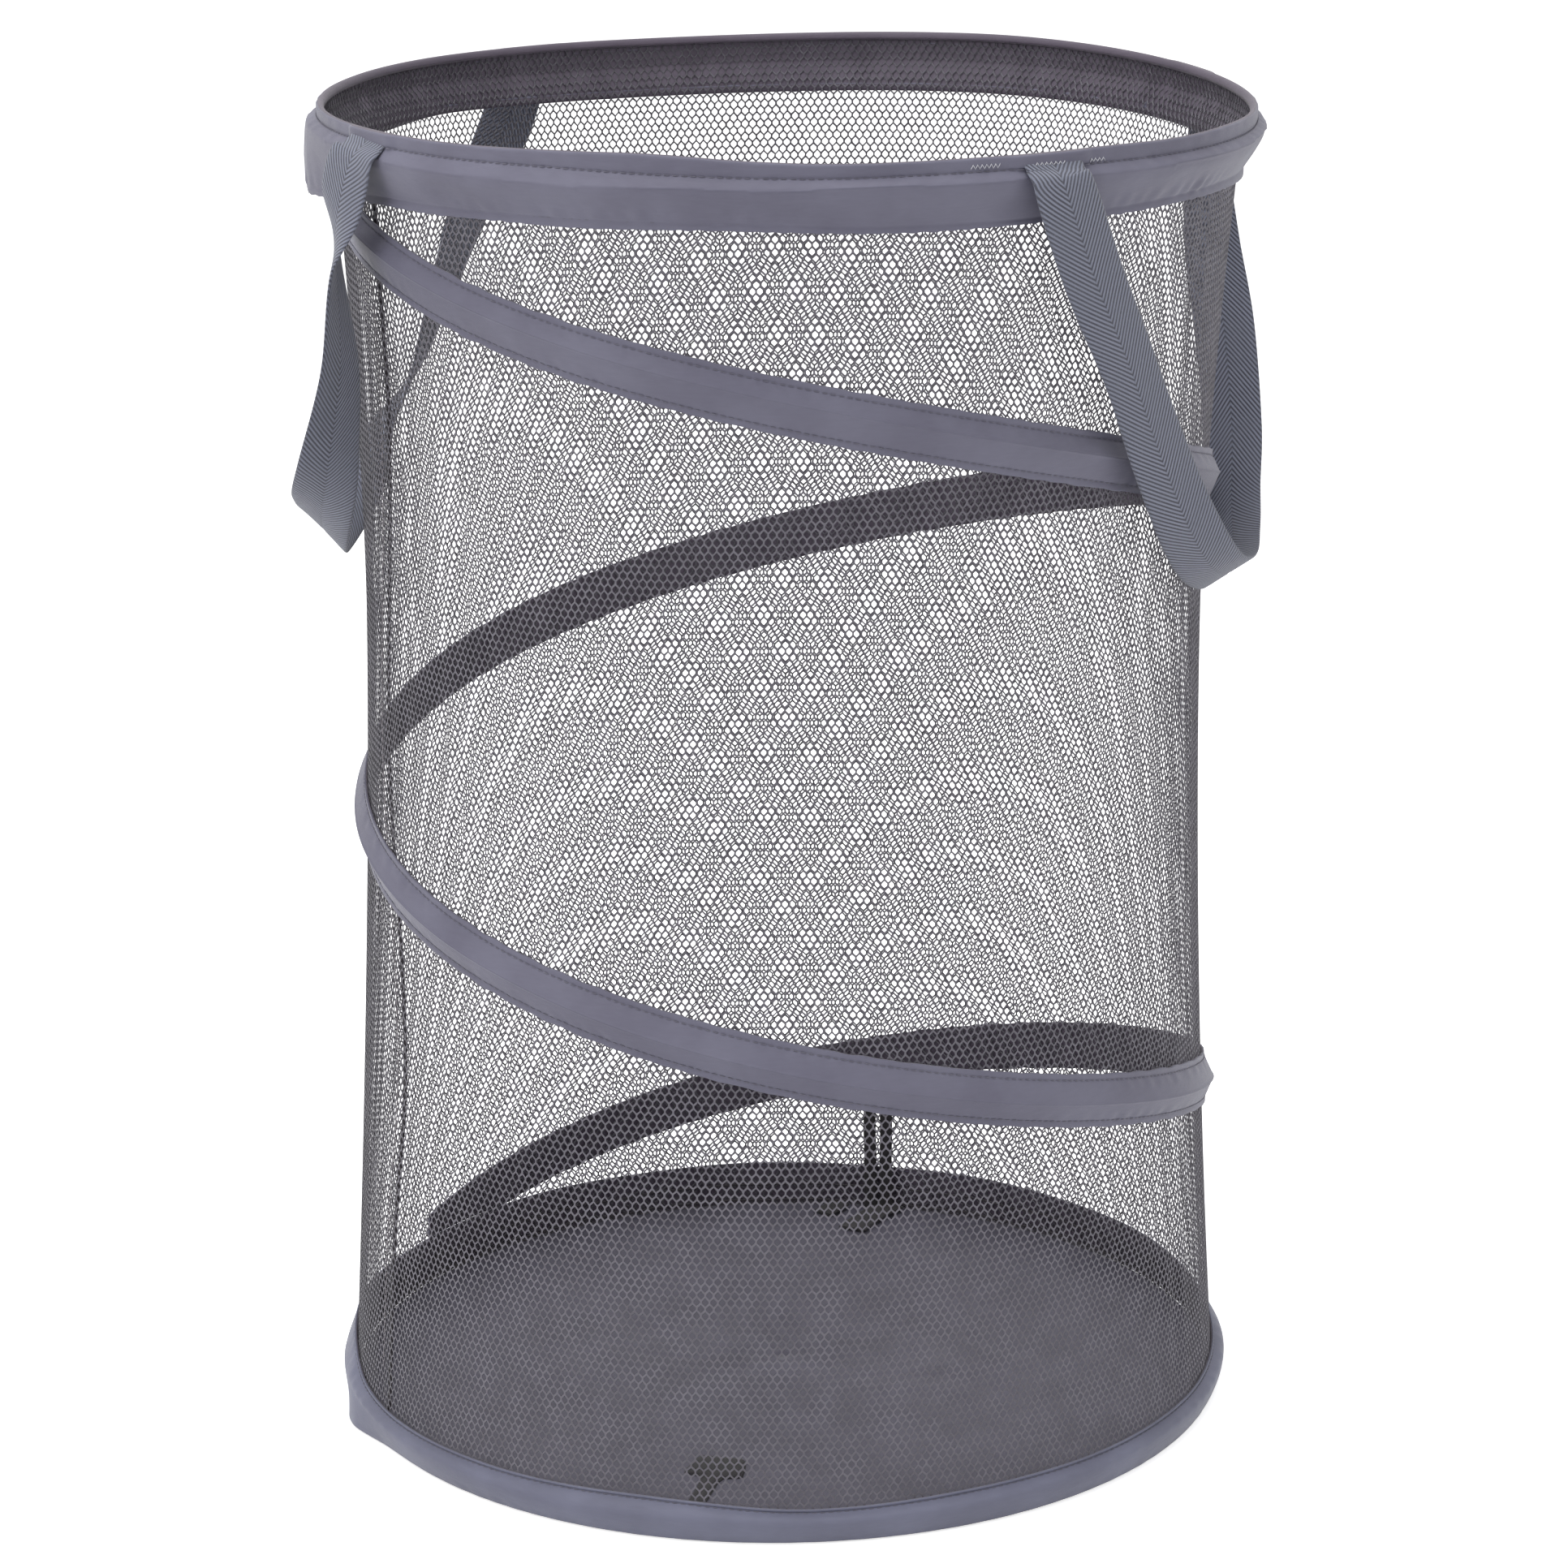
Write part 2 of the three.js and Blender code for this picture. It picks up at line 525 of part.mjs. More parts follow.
// Rear tie: a flat hairpin of ribbon that stands up against the inside of the net
function rearTie() {
  const half = TIE_RIBBON_WIDTH + REAR_TIE_SLOT * 0.5;
  const low = FLOOR_THICKNESS + CLEARANCE;
  const shape = new THREE.Shape();
  shape.moveTo(-half, 0);
  shape.lineTo(half, 0);
  shape.lineTo(half, REAR_TIE_LENGTH - half);
  shape.absarc(0, REAR_TIE_LENGTH - half, half, 0, Math.PI);
  shape.closePath();
  const slot = new THREE.Path();
  slot.moveTo(-REAR_TIE_SLOT * 0.5, TIE_RIBBON_WIDTH);
  slot.lineTo(-REAR_TIE_SLOT * 0.5, REAR_TIE_LENGTH - half);
  slot.absarc(0, REAR_TIE_LENGTH - half, REAR_TIE_SLOT * 0.5, Math.PI, 0, true);
  slot.lineTo(REAR_TIE_SLOT * 0.5, TIE_RIBBON_WIDTH);
  slot.closePath();
  shape.holes.push(slot);
  const depth = TIE_THICKNESS;
  const ribbon = new THREE.ExtrudeGeometry(shape, { depth, bevelEnabled: false, curveSegments: 8 });
  const narrowest = Math.min(wallRadius(low), wallRadius(low + REAR_TIE_LENGTH));
  const reach = narrowest - NET_THICKNESS - CLEARANCE - TIE_THICKNESS;
  ribbon.rotateX(TURN * 0.25 * DEGREE);
  ribbon.translate(0, -reach * Math.cos(FACET * 0.5 * DEGREE), low);
  return ribbon.rotateZ(REAR_TIE_AZIMUTH * DEGREE);
}

// Front tie: a tab with a wide head, lying on the floor panel with its stem sewn in at the front
function frontTie() {
  const reach = floorReach();
  const [stem, head] = [FRONT_TIE_STEM_WIDTH * 0.5, FRONT_TIE_HEAD_WIDTH * 0.5];
  const neck = FRONT_TIE_LENGTH - FRONT_TIE_HEAD_LENGTH;
  const tip = head * FRONT_TIE_TIP_SHARE;
  const corners = [[-stem, 0], [stem, 0], [stem, neck], [head, neck], [tip, FRONT_TIE_LENGTH],
    [-tip, FRONT_TIE_LENGTH], [-head, neck], [-stem, neck]];
  const shape = new THREE.Shape(corners.map(([x, y]) => new THREE.Vector2(x, y)));
  const tab = new THREE.ExtrudeGeometry(shape, { depth: TIE_THICKNESS, bevelEnabled: false });
  tab.translate(0, -reach, FLOOR_THICKNESS + CLEARANCE);
  return tab.rotateZ(FRONT_TIE_AZIMUTH * DEGREE);
}

function floorReach() {
  return (wallRadius(CLEARANCE) - NET_THICKNESS - CLEARANCE * 2) * Math.cos(FACET * 0.5 * DEGREE);
}

// Least distance between points of the spiral wire that lie a turn apart
function spiralGap() {
  const point = (azimuth) => facetPoint(azimuth, ...spiralWireCentre(azimuth));
  let least = Infinity;
  for (let azimuth = SPIRAL_WIRE_START; azimuth < SPIRAL_WIRE_END; azimuth += FACET) {
    for (let other = azimuth + TURN * 0.5; other < SPIRAL_WIRE_END; other += FACET) {
      least = Math.min(least, point(azimuth).distanceTo(point(other)));
    }
  }
  return least - SPIRAL_WIRE_DIAMETER;
}

const FABRIC = { color: 0x71707f, roughness: 0.62, metalness: 0 };
const DARK_FABRIC = { color: 0x5f5d69, roughness: 0.7, metalness: 0 };
const NET_FABRIC = { color: 0x6e6b78, roughness: 0.75, metalness: 0 };
const WEBBING = { color: 0x73767f, roughness: 0.85, metalness: 0 };
const STEEL = { color: 0xb4b4b6, roughness: 0.35, metalness: 1 };
const CAP_PLASTIC = { color: 0xd8d8d4, roughness: 0.5, metalness: 0 };
const BLACK_RIBBON = { color: 0x2b272d, roughness: 0.8, metalness: 0 };

function piece(name, geometry, look) {
  const mesh = new THREE.Mesh(settleGeometry(geometry), new THREE.MeshStandardMaterial(look));
  mesh.name = name;
  return mesh;
}

const hamper = new THREE.Group();
hamper.add(
  piece('floor_panel', floorPanel(), FABRIC),
  piece('side_mesh', sideMesh(), NET_FABRIC),
  piece('seam_tape', seamTape(), DARK_FABRIC),
  piece('top_hoop_wire', hoopWire(TOP_WIRE), STEEL),
  piece('top_hoop_ferrule', hoopFerrule(TOP_WIRE, TOP_FERRULE_AZIMUTH), STEEL),
  piece('top_sleeve', topSleeve(), FABRIC),
  piece('bottom_hoop_wire', hoopWire(BOTTOM_WIRE), STEEL),
  piece('bottom_hoop_ferrule', hoopFerrule(BOTTOM_WIRE, BOTTOM_FERRULE_AZIMUTH), STEEL),
  piece('bottom_sleeve', bottomSleeve(), FABRIC),
  piece('spiral_wire', spiralWire(), STEEL),
  piece('spiral_cap_upper', spiralCap(SPIRAL_WIRE_START, -1), CAP_PLASTIC),
  piece('spiral_cap_lower', spiralCap(SPIRAL_WIRE_END, 1), CAP_PLASTIC),
  piece('spiral_sleeve', spiralSleeve(), FABRIC),
  piece('closure_tie_rear', rearTie(), BLACK_RIBBON),
  piece('closure_tie_front', frontTie(), BLACK_RIBBON),
);
for (const [side, placeShares] of Object.entries(HANDLE_SHARES)) {
  hamper.add(
    piece(`handle_${side}`, handle(placeShares), WEBBING),
    piece(`handle_tack_${side}_front`, handleTack(placeShares[0][0]), WEBBING),
    piece(`handle_tack_${side}_rear`, handleTack(placeShares.at(-1)[0]), WEBBING),
  );
}
console.log(`least gap between the spiral wire's turns: ${spiralGap().toFixed(1)} mm`);

export default hamper;
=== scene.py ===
# Pop up laundry hamper: net wall, cloth sleeves, spring wires, webbing handles, ties and floor cloth.
# Shapes are worked out in millimetres and placed in metres. Azimuths are degrees seen from above,
# 0 at the front (-Y), growing towards the right (+X).
import math

import bpy
import numpy as np
from mathutils import Matrix, Vector


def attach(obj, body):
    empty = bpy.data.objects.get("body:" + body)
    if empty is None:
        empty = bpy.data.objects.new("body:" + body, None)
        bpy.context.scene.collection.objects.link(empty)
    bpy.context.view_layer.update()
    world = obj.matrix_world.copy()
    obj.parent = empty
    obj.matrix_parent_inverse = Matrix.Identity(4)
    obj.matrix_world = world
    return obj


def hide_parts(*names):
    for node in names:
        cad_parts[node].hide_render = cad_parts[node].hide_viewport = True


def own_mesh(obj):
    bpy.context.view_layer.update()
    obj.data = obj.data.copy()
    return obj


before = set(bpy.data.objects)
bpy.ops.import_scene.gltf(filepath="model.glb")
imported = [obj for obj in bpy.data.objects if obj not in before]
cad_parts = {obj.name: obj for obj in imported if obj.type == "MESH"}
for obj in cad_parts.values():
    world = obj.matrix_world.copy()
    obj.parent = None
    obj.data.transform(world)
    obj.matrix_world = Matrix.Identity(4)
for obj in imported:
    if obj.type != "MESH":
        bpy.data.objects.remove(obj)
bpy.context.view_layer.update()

MM = 0.001

# The standing hamper
HEIGHT = 530.0
RIM_RADIUS = 180.9
NECK_RADIUS = 175.6
WAIST_RADIUS = 166.3
WAIST_HEIGHT = 330.0
BASE_RADIUS = 178.6
FLARE_POWER = 1.65
NET_THICKNESS = 0.8
LEAN = 7.5
LEAN_POWER = 1.5
RIM_TILT_DROP = 1.8
RIM_WAVE_HEIGHT = 1.6
RIM_WAVES = 3
WAVE_AZIMUTH = 140.0
TOP_SLEEVE_WIDTH = 23.5
TOP_HOOP_HEIGHT = HEIGHT - 10.0
NECK_HEIGHT = HEIGHT - TOP_SLEEVE_WIDTH
BOTTOM_SLEEVE_WIDTH = 21.0
BOTTOM_HOOP_HEIGHT = 10.0
CLEARANCE = 0.35
CLOTH_THICKNESS = 0.6


# The photograph's camera

PHOTO_PIXELS = 1932
FOCAL_PIXELS = 5872
SENSOR_WIDTH = 36.0
CAMERA_PLACE = (0.0, -1.85, 0.784)
CAMERA_PITCH = math.radians(16.09)
CAMERA_YAW = math.radians(0.09)
CAMERA_ROLL = math.radians(-0.72)


def photo_camera():
    lens = bpy.data.cameras.new("photo_camera")
    lens.sensor_width = SENSOR_WIDTH
    lens.lens = SENSOR_WIDTH * FOCAL_PIXELS / PHOTO_PIXELS
    lens.clip_end = 60
    forward = Vector((
        math.sin(CAMERA_YAW) * math.cos(CAMERA_PITCH),
        math.cos(CAMERA_YAW) * math.cos(CAMERA_PITCH),
        -math.sin(CAMERA_PITCH),
    ))
    level = Vector((math.cos(CAMERA_YAW), -math.sin(CAMERA_YAW), 0))
    upright = level.cross(forward)
    right = level * math.cos(CAMERA_ROLL) + upright * math.sin(CAMERA_ROLL)
    up = upright * math.cos(CAMERA_ROLL) - level * math.sin(CAMERA_ROLL)
    turned = Matrix((right, up, -forward)).transposed().to_4x4()
    camera = bpy.data.objects.new("photo_camera", lens)
    camera.matrix_world = Matrix.Translation(CAMERA_PLACE) @ turned
    bpy.context.scene.collection.objects.link(camera)
    bpy.context.scene.camera = camera


photo_camera()

# Shader sums


class Signal:
    """One output socket of a finish. Sums and products of signals add Math nodes."""

    def __init__(self, finish, socket):
        self.finish = finish
        self.socket = socket

    def __add__(self, other):
        return self.finish.math("ADD", self, other)

    def __sub__(self, other):
        return self.finish.math("SUBTRACT", self, other)

    def __mul__(self, other):
        return self.finish.math("MULTIPLY", self, other)

    def __rsub__(self, other):
        return self.finish.math("SUBTRACT", other, self)

    __radd__ = __add__
    __rmul__ = __mul__

    def sine(self):
        return self.finish.math("SINE", self)

    def size(self):
        return self.finish.math("ABSOLUTE", self)

    def ramp(self, low, high):
        """0 below low, 1 above high, smooth between."""
        settings = {"interpolation_type": "SMOOTHSTEP"}
        return self.finish.value("ShaderNodeMapRange", settings, {0: self, 1: low, 2: high})


class Finish:
    """A material with one Principled shader."""

    def __init__(self, name):
        self.material = bpy.data.materials.new(name)
        self.material.use_nodes = True
        self.tree = self.material.node_tree
        self.shader = self.tree.nodes["Principled BSDF"]

    def node(self, kind, settings, inputs):
        made = self.tree.nodes.new(kind)
        for setting, value in settings.items():
            setattr(made, setting, value)
        self.fill(made, inputs)
        return made

    def fill(self, made, inputs):
        for socket, value in inputs.items():
            if isinstance(value, Signal):
                self.tree.links.new(value.socket, made.inputs[socket])
            else:
                made.inputs[socket].default_value = value

    def value(self, kind, settings, inputs, output=0):
        return Signal(self, self.node(kind, settings, inputs).outputs[output])

    def math(self, operation, *values):
        return self.value("ShaderNodeMath", {"operation": operation}, dict(enumerate(values)))

    def coordinates(self):
        return self.value("ShaderNodeTexCoord", {}, {}, "Object")

    def axes(self, vector):
        parts = self.node("ShaderNodeSeparateXYZ", {}, {0: vector})
        return [Signal(self, parts.outputs[axis]) for axis in range(3)]

    def uv(self, name):
        place = self.value("ShaderNodeUVMap", {"uv_map": name}, {})
        return self.axes(place)[:2]

    def noise(self, scale, detail, vector=None):
        inputs = {"Vector": vector or self.coordinates(), "Scale": scale, "Detail": detail}
        return self.value("ShaderNodeTexNoise", {}, inputs)

    def stretched(self, scales):
        """Object coordinates, each axis with a scale of its own."""
        settings = {"operation": "MULTIPLY"}
        return self.value("ShaderNodeVectorMath", settings, {0: self.coordinates(), 1: scales})

    def round_wall(self):
        """Way round the hamper and height, both in metres."""
        x, y, z = self.axes(self.coordinates())
        return self.math("ARCTAN2", x, y) * (RIM_RADIUS * MM), z

    def tint(self, factor, first, second):
        settings = {"data_type": "RGBA", "clamp_factor": True}
        return self.value("ShaderNodeMix", settings, {0: factor, 6: first, 7: second}, 2)

    def surface(self, **inputs):
        self.fill(self.shader, {name.replace("_", " "): value for name, value in inputs.items()})

    def relief(self, height, depth, strength):
        inputs = {"Height": height, "Distance": depth, "Strength": strength}
        self.surface(Normal=self.value("ShaderNodeBump", {}, inputs))


def paint(red, green, blue):
    """A colour as a screen shows it, 0 to 255, in the shader's own scale."""
    def straight(value):
        share = value / 255
        return share / 12.92 if share <= 0.04045 else ((share + 0.055) / 1.055) ** 2.4
    return (straight(red), straight(green), straight(blue), 1.0)


# Finishes

WEBBING_WIDTH = 25.0
RIB_PITCH = 2.4
WEAVE_PITCH = 0.42


def lining_cloth(name, light, dark):
    """Smooth woven lining cloth with a faint sheen, softly mottled."""
    finish = Finish(name)
    around, z = finish.round_wall()
    turn = 2 * math.pi / (WEAVE_PITCH * MM)
    weave = (around * turn).sine() * (z * turn).sine()
    mottle = finish.noise(28.0, 3.0)
    streak = finish.noise(1.0, 2.0, finish.stretched((160.0, 160.0, 900.0)))
    shade = mottle.ramp(0.3, 0.7) * 0.65 + streak * 0.35
    base = finish.tint(shade, paint(*dark), paint(*light))
    base = finish.tint(weave.ramp(-1.0, 1.0) * 0.12, base, paint(62, 60, 70))
    finish.surface(Base_Color=base, Roughness=0.5 + mottle * 0.12)
    finish.surface(Specular_IOR_Level=0.42, Sheen_Weight=0.25, Sheen_Roughness=0.4)
    creases = finish.noise(1.0, 3.0, finish.stretched((70.0, 70.0, 220.0)))
    finish.relief(weave * 0.12 + creases * 3.0, 0.00022, 0.6)
    return finish.material


def net_yarn(name, dark, light, lint_tone):
    finish = Finish(name)
    tone = finish.noise(90.0, 3.0)
    lint = finish.noise(2400.0, 1.0)
    base = finish.tint(tone.ramp(0.3, 0.7), paint(*dark), paint(*light))
    base = finish.tint(lint.ramp(0.45, 0.75) * 0.35, base, paint(*lint_tone))
    finish.surface(Base_Color=base, Roughness=0.72 + lint * 0.15, Sheen_Weight=0.2)
    finish.relief(lint, 0.00012, 0.5)
    return finish.material


def webbing_cloth():
    """Herringbone webbing: slanting ribs that meet in a spine along the middle."""
    finish = Finish("webbing_cloth")
    across, along = finish.uv("Strap")
    from_spine = (across - 0.5).size() * WEBBING_WIDTH
    rib = ((along + from_spine * 1.35) * (2 * math.pi / RIB_PITCH)).sine()
    ridge = rib.ramp(-0.75, 0.65)
    spine = 1 - from_spine.ramp(0.15, 0.75)
    edge = from_spine.ramp(11.3, 12.2)
    worn = finish.noise(60.0, 3.0)
    lint = finish.noise(1500.0, 2.0)
    # the ribs are lighter and the furrows between them darker: the herringbone pattern, with painted shade
    # in its furrows
    base = finish.tint(ridge, paint(67, 67, 79), paint(135, 139, 157))
    base = finish.tint(worn.ramp(0.35, 0.7) * 0.25, base, paint(112, 115, 128))
    # the spine groove is painted darker as shade, and the edges are darker
    base = finish.tint((spine * 0.2 + edge * 0.3), base, paint(74, 75, 86))
    base = finish.tint(lint.ramp(0.5, 0.8) * 0.2, base, paint(160, 163, 176))
    finish.surface(Base_Color=base, Roughness=0.78 + worn * 0.12, Sheen_Weight=0.3)
    finish.relief(ridge - spine * 0.3 + lint * 0.15, 0.0003, 0.7)
    return finish.material


def black_ribbon():
    finish = Finish("black_ribbon")
    x, y, z = finish.axes(finish.coordinates())
    ribs = ((x + z) * (2 * math.pi / 0.0009)).sine() * ((y + z) * (2 * math.pi / 0.0007)).sine()
    tone = finish.noise(140.0, 2.0)
    base = finish.tint(tone, paint(22, 18, 22), paint(38, 34, 39))
    finish.surface(Base_Color=base, Roughness=0.7 + tone * 0.2, Sheen_Weight=0.2)
    finish.relief(ribs, 0.00012, 0.5)
    return finish.material


def grained(name, light, dark, scale, detail, rough, relief, stretch=None, **more):
    """A finish whose tone, roughness and relief follow one grain. rough is the least roughness and what
    the grain adds to it, relief is its depth and strength."""
    finish = Finish(name)
    grain = finish.noise(scale, detail, finish.stretched(stretch) if stretch else None)
    base = finish.tint(grain, paint(*dark), paint(*light))
    finish.surface(Base_Color=base, Roughness=rough[0] + grain * rough[1], **more)
    finish.relief(grain, *relief)
    return finish.material


def sewing_thread(name, light, dark):
    return grained(name, light, dark, 1500.0, 1.0, (0.5, 0.2), (0.0001, 0.4), Sheen_Weight=0.2)


FINISHES = {
    "sleeve": lining_cloth("sleeve_cloth", (118, 117, 135), (99, 97, 115)),
    "foot_sleeve": lining_cloth("foot_sleeve_cloth", (124, 126, 147), (105, 106, 125)),
    "floor": lining_cloth("floor_cloth", (99, 96, 111), (83, 80, 94)),
    # darker and browner than the sleeve cloth: painted shade for the cloth inside the sleeves and on the
    # rim's lip
    "lining": lining_cloth("lining_cloth", (98, 89, 103), (82, 73, 88)),
    "binding": lining_cloth("binding_cloth", (58, 52, 58), (42, 37, 43)),
    "net": net_yarn("net_yarn", (92, 89, 97), (110, 107, 116), (130, 128, 138)),
    "webbing": webbing_cloth(),
    "ribbon": black_ribbon(),
    "thread": sewing_thread("grey_thread", (118, 116, 130), (84, 82, 94)),
    "light_thread": sewing_thread("light_thread", (228, 228, 234), (186, 186, 196)),
    "seam_thread": sewing_thread("seam_thread", (158, 152, 158), (112, 106, 112)),
    "steel": grained("drawn_steel", (196, 196, 198), (150, 150, 154), 1.0, 3.0, (0.28, 0.2),
                     (0.00004, 0.3), (300.0, 300.0, 4000.0), Metallic=1.0),
    "cap": grained("moulded_cap", (222, 222, 216), (206, 206, 200), 700.0, 2.0, (0.42, 0.15),
                   (0.00005, 0.4)),
}

# Shape of the wall


def wall(z):
    """Radius of the net's outer face at a height."""
    z = np.asarray(z, float)
    rise = np.clip((z - NECK_HEIGHT) / (TOP_HOOP_HEIGHT - NECK_HEIGHT), 0, 1)
    swell = NECK_RADIUS + (RIM_RADIUS - NECK_RADIUS) * rise ** 2 * (3 - 2 * rise)
    edge = np.where(z > WAIST_HEIGHT, NECK_RADIUS, BASE_RADIUS)
    reach = np.where(z > WAIST_HEIGHT, NECK_HEIGHT - WAIST_HEIGHT, -WAIST_HEIGHT)
    share = np.clip((z - WAIST_HEIGHT) / reach, 0, 1)
    flare = WAIST_RADIUS + (edge - WAIST_RADIUS) * share ** FLARE_POWER
    return np.where(z > NECK_HEIGHT, swell, flare)


def place(azimuth, radius, z):
    """Points of the standing hamper in metres, with its lean, tilt and wavy rim."""
    azimuth, radius, z = np.broadcast_arrays(azimuth, radius, z)
    turn = np.radians(azimuth)
    share = np.maximum(z, 0) / HEIGHT
    wave = RIM_WAVE_HEIGHT * np.cos(RIM_WAVES * (turn - math.radians(WAVE_AZIMUTH)))
    settled = z + share ** 2 * (radius / RIM_RADIUS) * (wave - RIM_TILT_DROP * np.sin(turn))
    x = radius * np.sin(turn) + LEAN * share ** LEAN_POWER
    return np.stack([x, -radius * np.cos(turn), settled], axis=-1) * MM


RIPPLE_PARTS = 7


class Ripple:
    """A smooth uneven wave round the hamper, between about -1 and 1."""

    def __init__(self, seed, slow, fast):
        draw = np.random.default_rng(seed)
        self.rates = np.round(draw.uniform(slow, fast, RIPPLE_PARTS))
        self.phases = draw.uniform(0, 2 * math.pi, RIPPLE_PARTS)

    def __call__(self, azimuth):
        turn = np.radians(np.asarray(azimuth, float))[..., None]
        return np.sin(turn * self.rates + self.phases).mean(axis=-1) * 1.9


# Meshes and pieces

UP = np.array([0.0, 0.0, 1.0])
# Corners of a thin bar's section: outwards, and along the wall
DIAMOND = ((1, 0), (0, 1), (-1, 0), (0, -1))


def grid_faces(rows, columns, rows_close, columns_close):
    """Quads of a grid of points that is stored row by row."""
    row = np.arange(rows if rows_close else rows - 1)[:, None]
    column = np.arange(columns if columns_close else columns - 1)[None, :]
    next_row, next_column = (row + 1) % rows, (column + 1) % columns
    corners = [row * columns + column, next_row * columns + column,
               next_row * columns + next_column, row * columns + next_column]
    return np.stack([corner.ravel() for corner in np.broadcast_arrays(*corners)], axis=1)


def piece(name, points, faces, body, finish, uv_maps=None):
    """A named piece from points in metres. uv_maps gives each vertex its place on a map."""
    mesh = bpy.data.meshes.new(name)
    mesh.from_pydata(np.asarray(points).reshape(-1, 3).tolist(), [], [list(face) for face in faces])
    for uv_name, places in (uv_maps or {}).items():
        layer = mesh.uv_layers.new(name=uv_name)
        order = np.empty(len(mesh.loops), dtype=np.int32)
        mesh.loops.foreach_get("vertex_index", order)
        layer.data.foreach_set("uv", np.asarray(places, float)[order].ravel())
    mesh.materials.append(FINISHES[finish])
    mesh.shade_smooth()
    made = bpy.data.objects.new(name, mesh)
    bpy.context.scene.collection.objects.link(made)
    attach(made, body)
    return made


def fold_with_hamper(made):
    """Gives the piece a mesh of its own."""
    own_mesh(made)


def swept(name, rings, body, finish, closed=False, uv_maps=None):
    """A tube through rings of points, its ends closed by one face each unless it meets itself."""
    rows, columns = rings.shape[:2]
    faces = grid_faces(rows, columns, closed, True).tolist()
    if not closed:
        faces.append(list(range(columns)))
        faces.append(list(range(rows * columns - 1, (rows - 1) * columns - 1, -1)))
    return piece(name, rings, faces, body, finish, uv_maps)


def thread_bars(name, bars, body, finish):
    """Short bars of thread, each made of rings of four points."""
    bars = np.asarray(bars).reshape(len(bars), -1, 3)
    corners = bars.shape[1]
    one = grid_faces(corners // 4, 4, False, True).tolist()
    one += [[0, 1, 2, 3], list(range(corners - 1, corners - 5, -1))]
    faces = [[corner + corners * number for corner in face] for number in range(len(bars)) for face in one]
    return piece(name, bars, faces, body, finish)


# How far the rim's cloth has settled from its even lines, in millimetres, at places round the rim:
# azimuth, upper edge, upper stitches, ridge, hem stitches, lower edge
RIM_PLACES = [
    (-180, 0, 0, 0, 0, 0), (-150, 0, 0, 0, 0, 0), (-125, -1.5, -1, 0, 0, 0), (-105, -3.2, -2.8, 0, -6, -6),
    (-88, -3.5, -3, 0, -13.5, -13.5), (-74, -2.0, -1.8, 0, -9.5, -9.5), (-60, -0.3, -0.3, 0, -4.5, -4.5),
    (-38, 1.3, 0.7, 0, -1.7, -1.8), (-29, 2.0, 1.1, 0, -1.7, -1.8), (-15, 2.1, -0.5, 0, -2.0, -1.7),
    (-9, 0, -1.3, -0.5, -2.2, -1.8), (-3, -1.4, -2.2, -1.0, -2.6, -2.2), (5, -2.8, -3, -1.5, -4.4, -4),
    (12, -3.0, -3, -1.8, -5.3, -5), (28, -2.7, -2.8, -1.5, -5.4, -4.4), (40, -2.0, -3, -1.5, -4.9, -4),
    (52, -2.5, -3, -1.2, -3.8, -3.6), (66, -1.6, -2.8, -0.8, -3.0, -3.2), (82, -2.4, -3, -0.4, -4.2, -4.8),
    (100, -2.2, -2.2, 0, -2, -2), (116, -1.8, -1.8, 0, -1, -1), (150, 0, 0, 0, 0, 0), (180, 0, 0, 0, 0, 0),
]
RIM_EDGE, RIM_STITCH, RIM_RIDGE, RIM_HEM, RIM_FOOT = 1, 2, 3, 4, 5
ROOT_AZIMUTHS = {"left": (-58.0, -144.5), "right": (31.0, 115.0)}
ROOT_SWELL = 1.35


def rim_line(azimuth, which):
    """How far one of the rim's lines is off its even height."""
    azimuths = [spot[0] for spot in RIM_PLACES]
    drops = [spot[which] for spot in RIM_PLACES]
    return sum(np.interp(azimuth + shift, azimuths, drops, period=360) for shift in (-4, -1.5, 1.5, 4)) / 4


def root_swell(azimuth):
    """1 where the webbing's sewn ends lie under the rim's upper strip, 0 beside them."""
    swell = 0
    for root in ROOT_AZIMUTHS["left"] + ROOT_AZIMUTHS["right"]:
        aside = np.abs((azimuth - root + 180) % 360 - 180)
        share = np.clip((6.0 - aside) / 1.8, 0, 1)
        swell = swell + share ** 2 * (3 - 2 * share)
    return swell


# Net wall

NET_COLUMNS = 336
NET_PANELS = 6
NET_ROW = 2.74
NET_RISE = 1.55
NET_LOW = 0.6
NET_TOP = 529.6
NET_MIDDLE_RADIUS = 170.0
YARN_WIDTH = 0.68
YARN_DEPTH = 0.36
# The seam wanders a little on its way up the wall: height, azimuth
SEAM_LINE = [(0, -64.6), (84, -64.3), (112, -63.2), (146, -61.2), (180, -62.0), (214, -63.8), (246, -66.4),
             (275, -68.7), (324, -68.5), (372, -66.0), (424, -63.4), (470, -63.6), (530, -62.0)]
NET_START = -72.0
NET_PUCKER = Ripple(5, 30, 90)
# Share of the yarns' faces that isn't their depth
YARN_FACE_SHARE = 0.58


def seam_azimuth(z):
    heights, azimuths = zip(*SEAM_LINE)
    return sum(np.interp(np.asarray(z) + shift, heights, azimuths) for shift in (-18, -6, 6, 18)) / 4


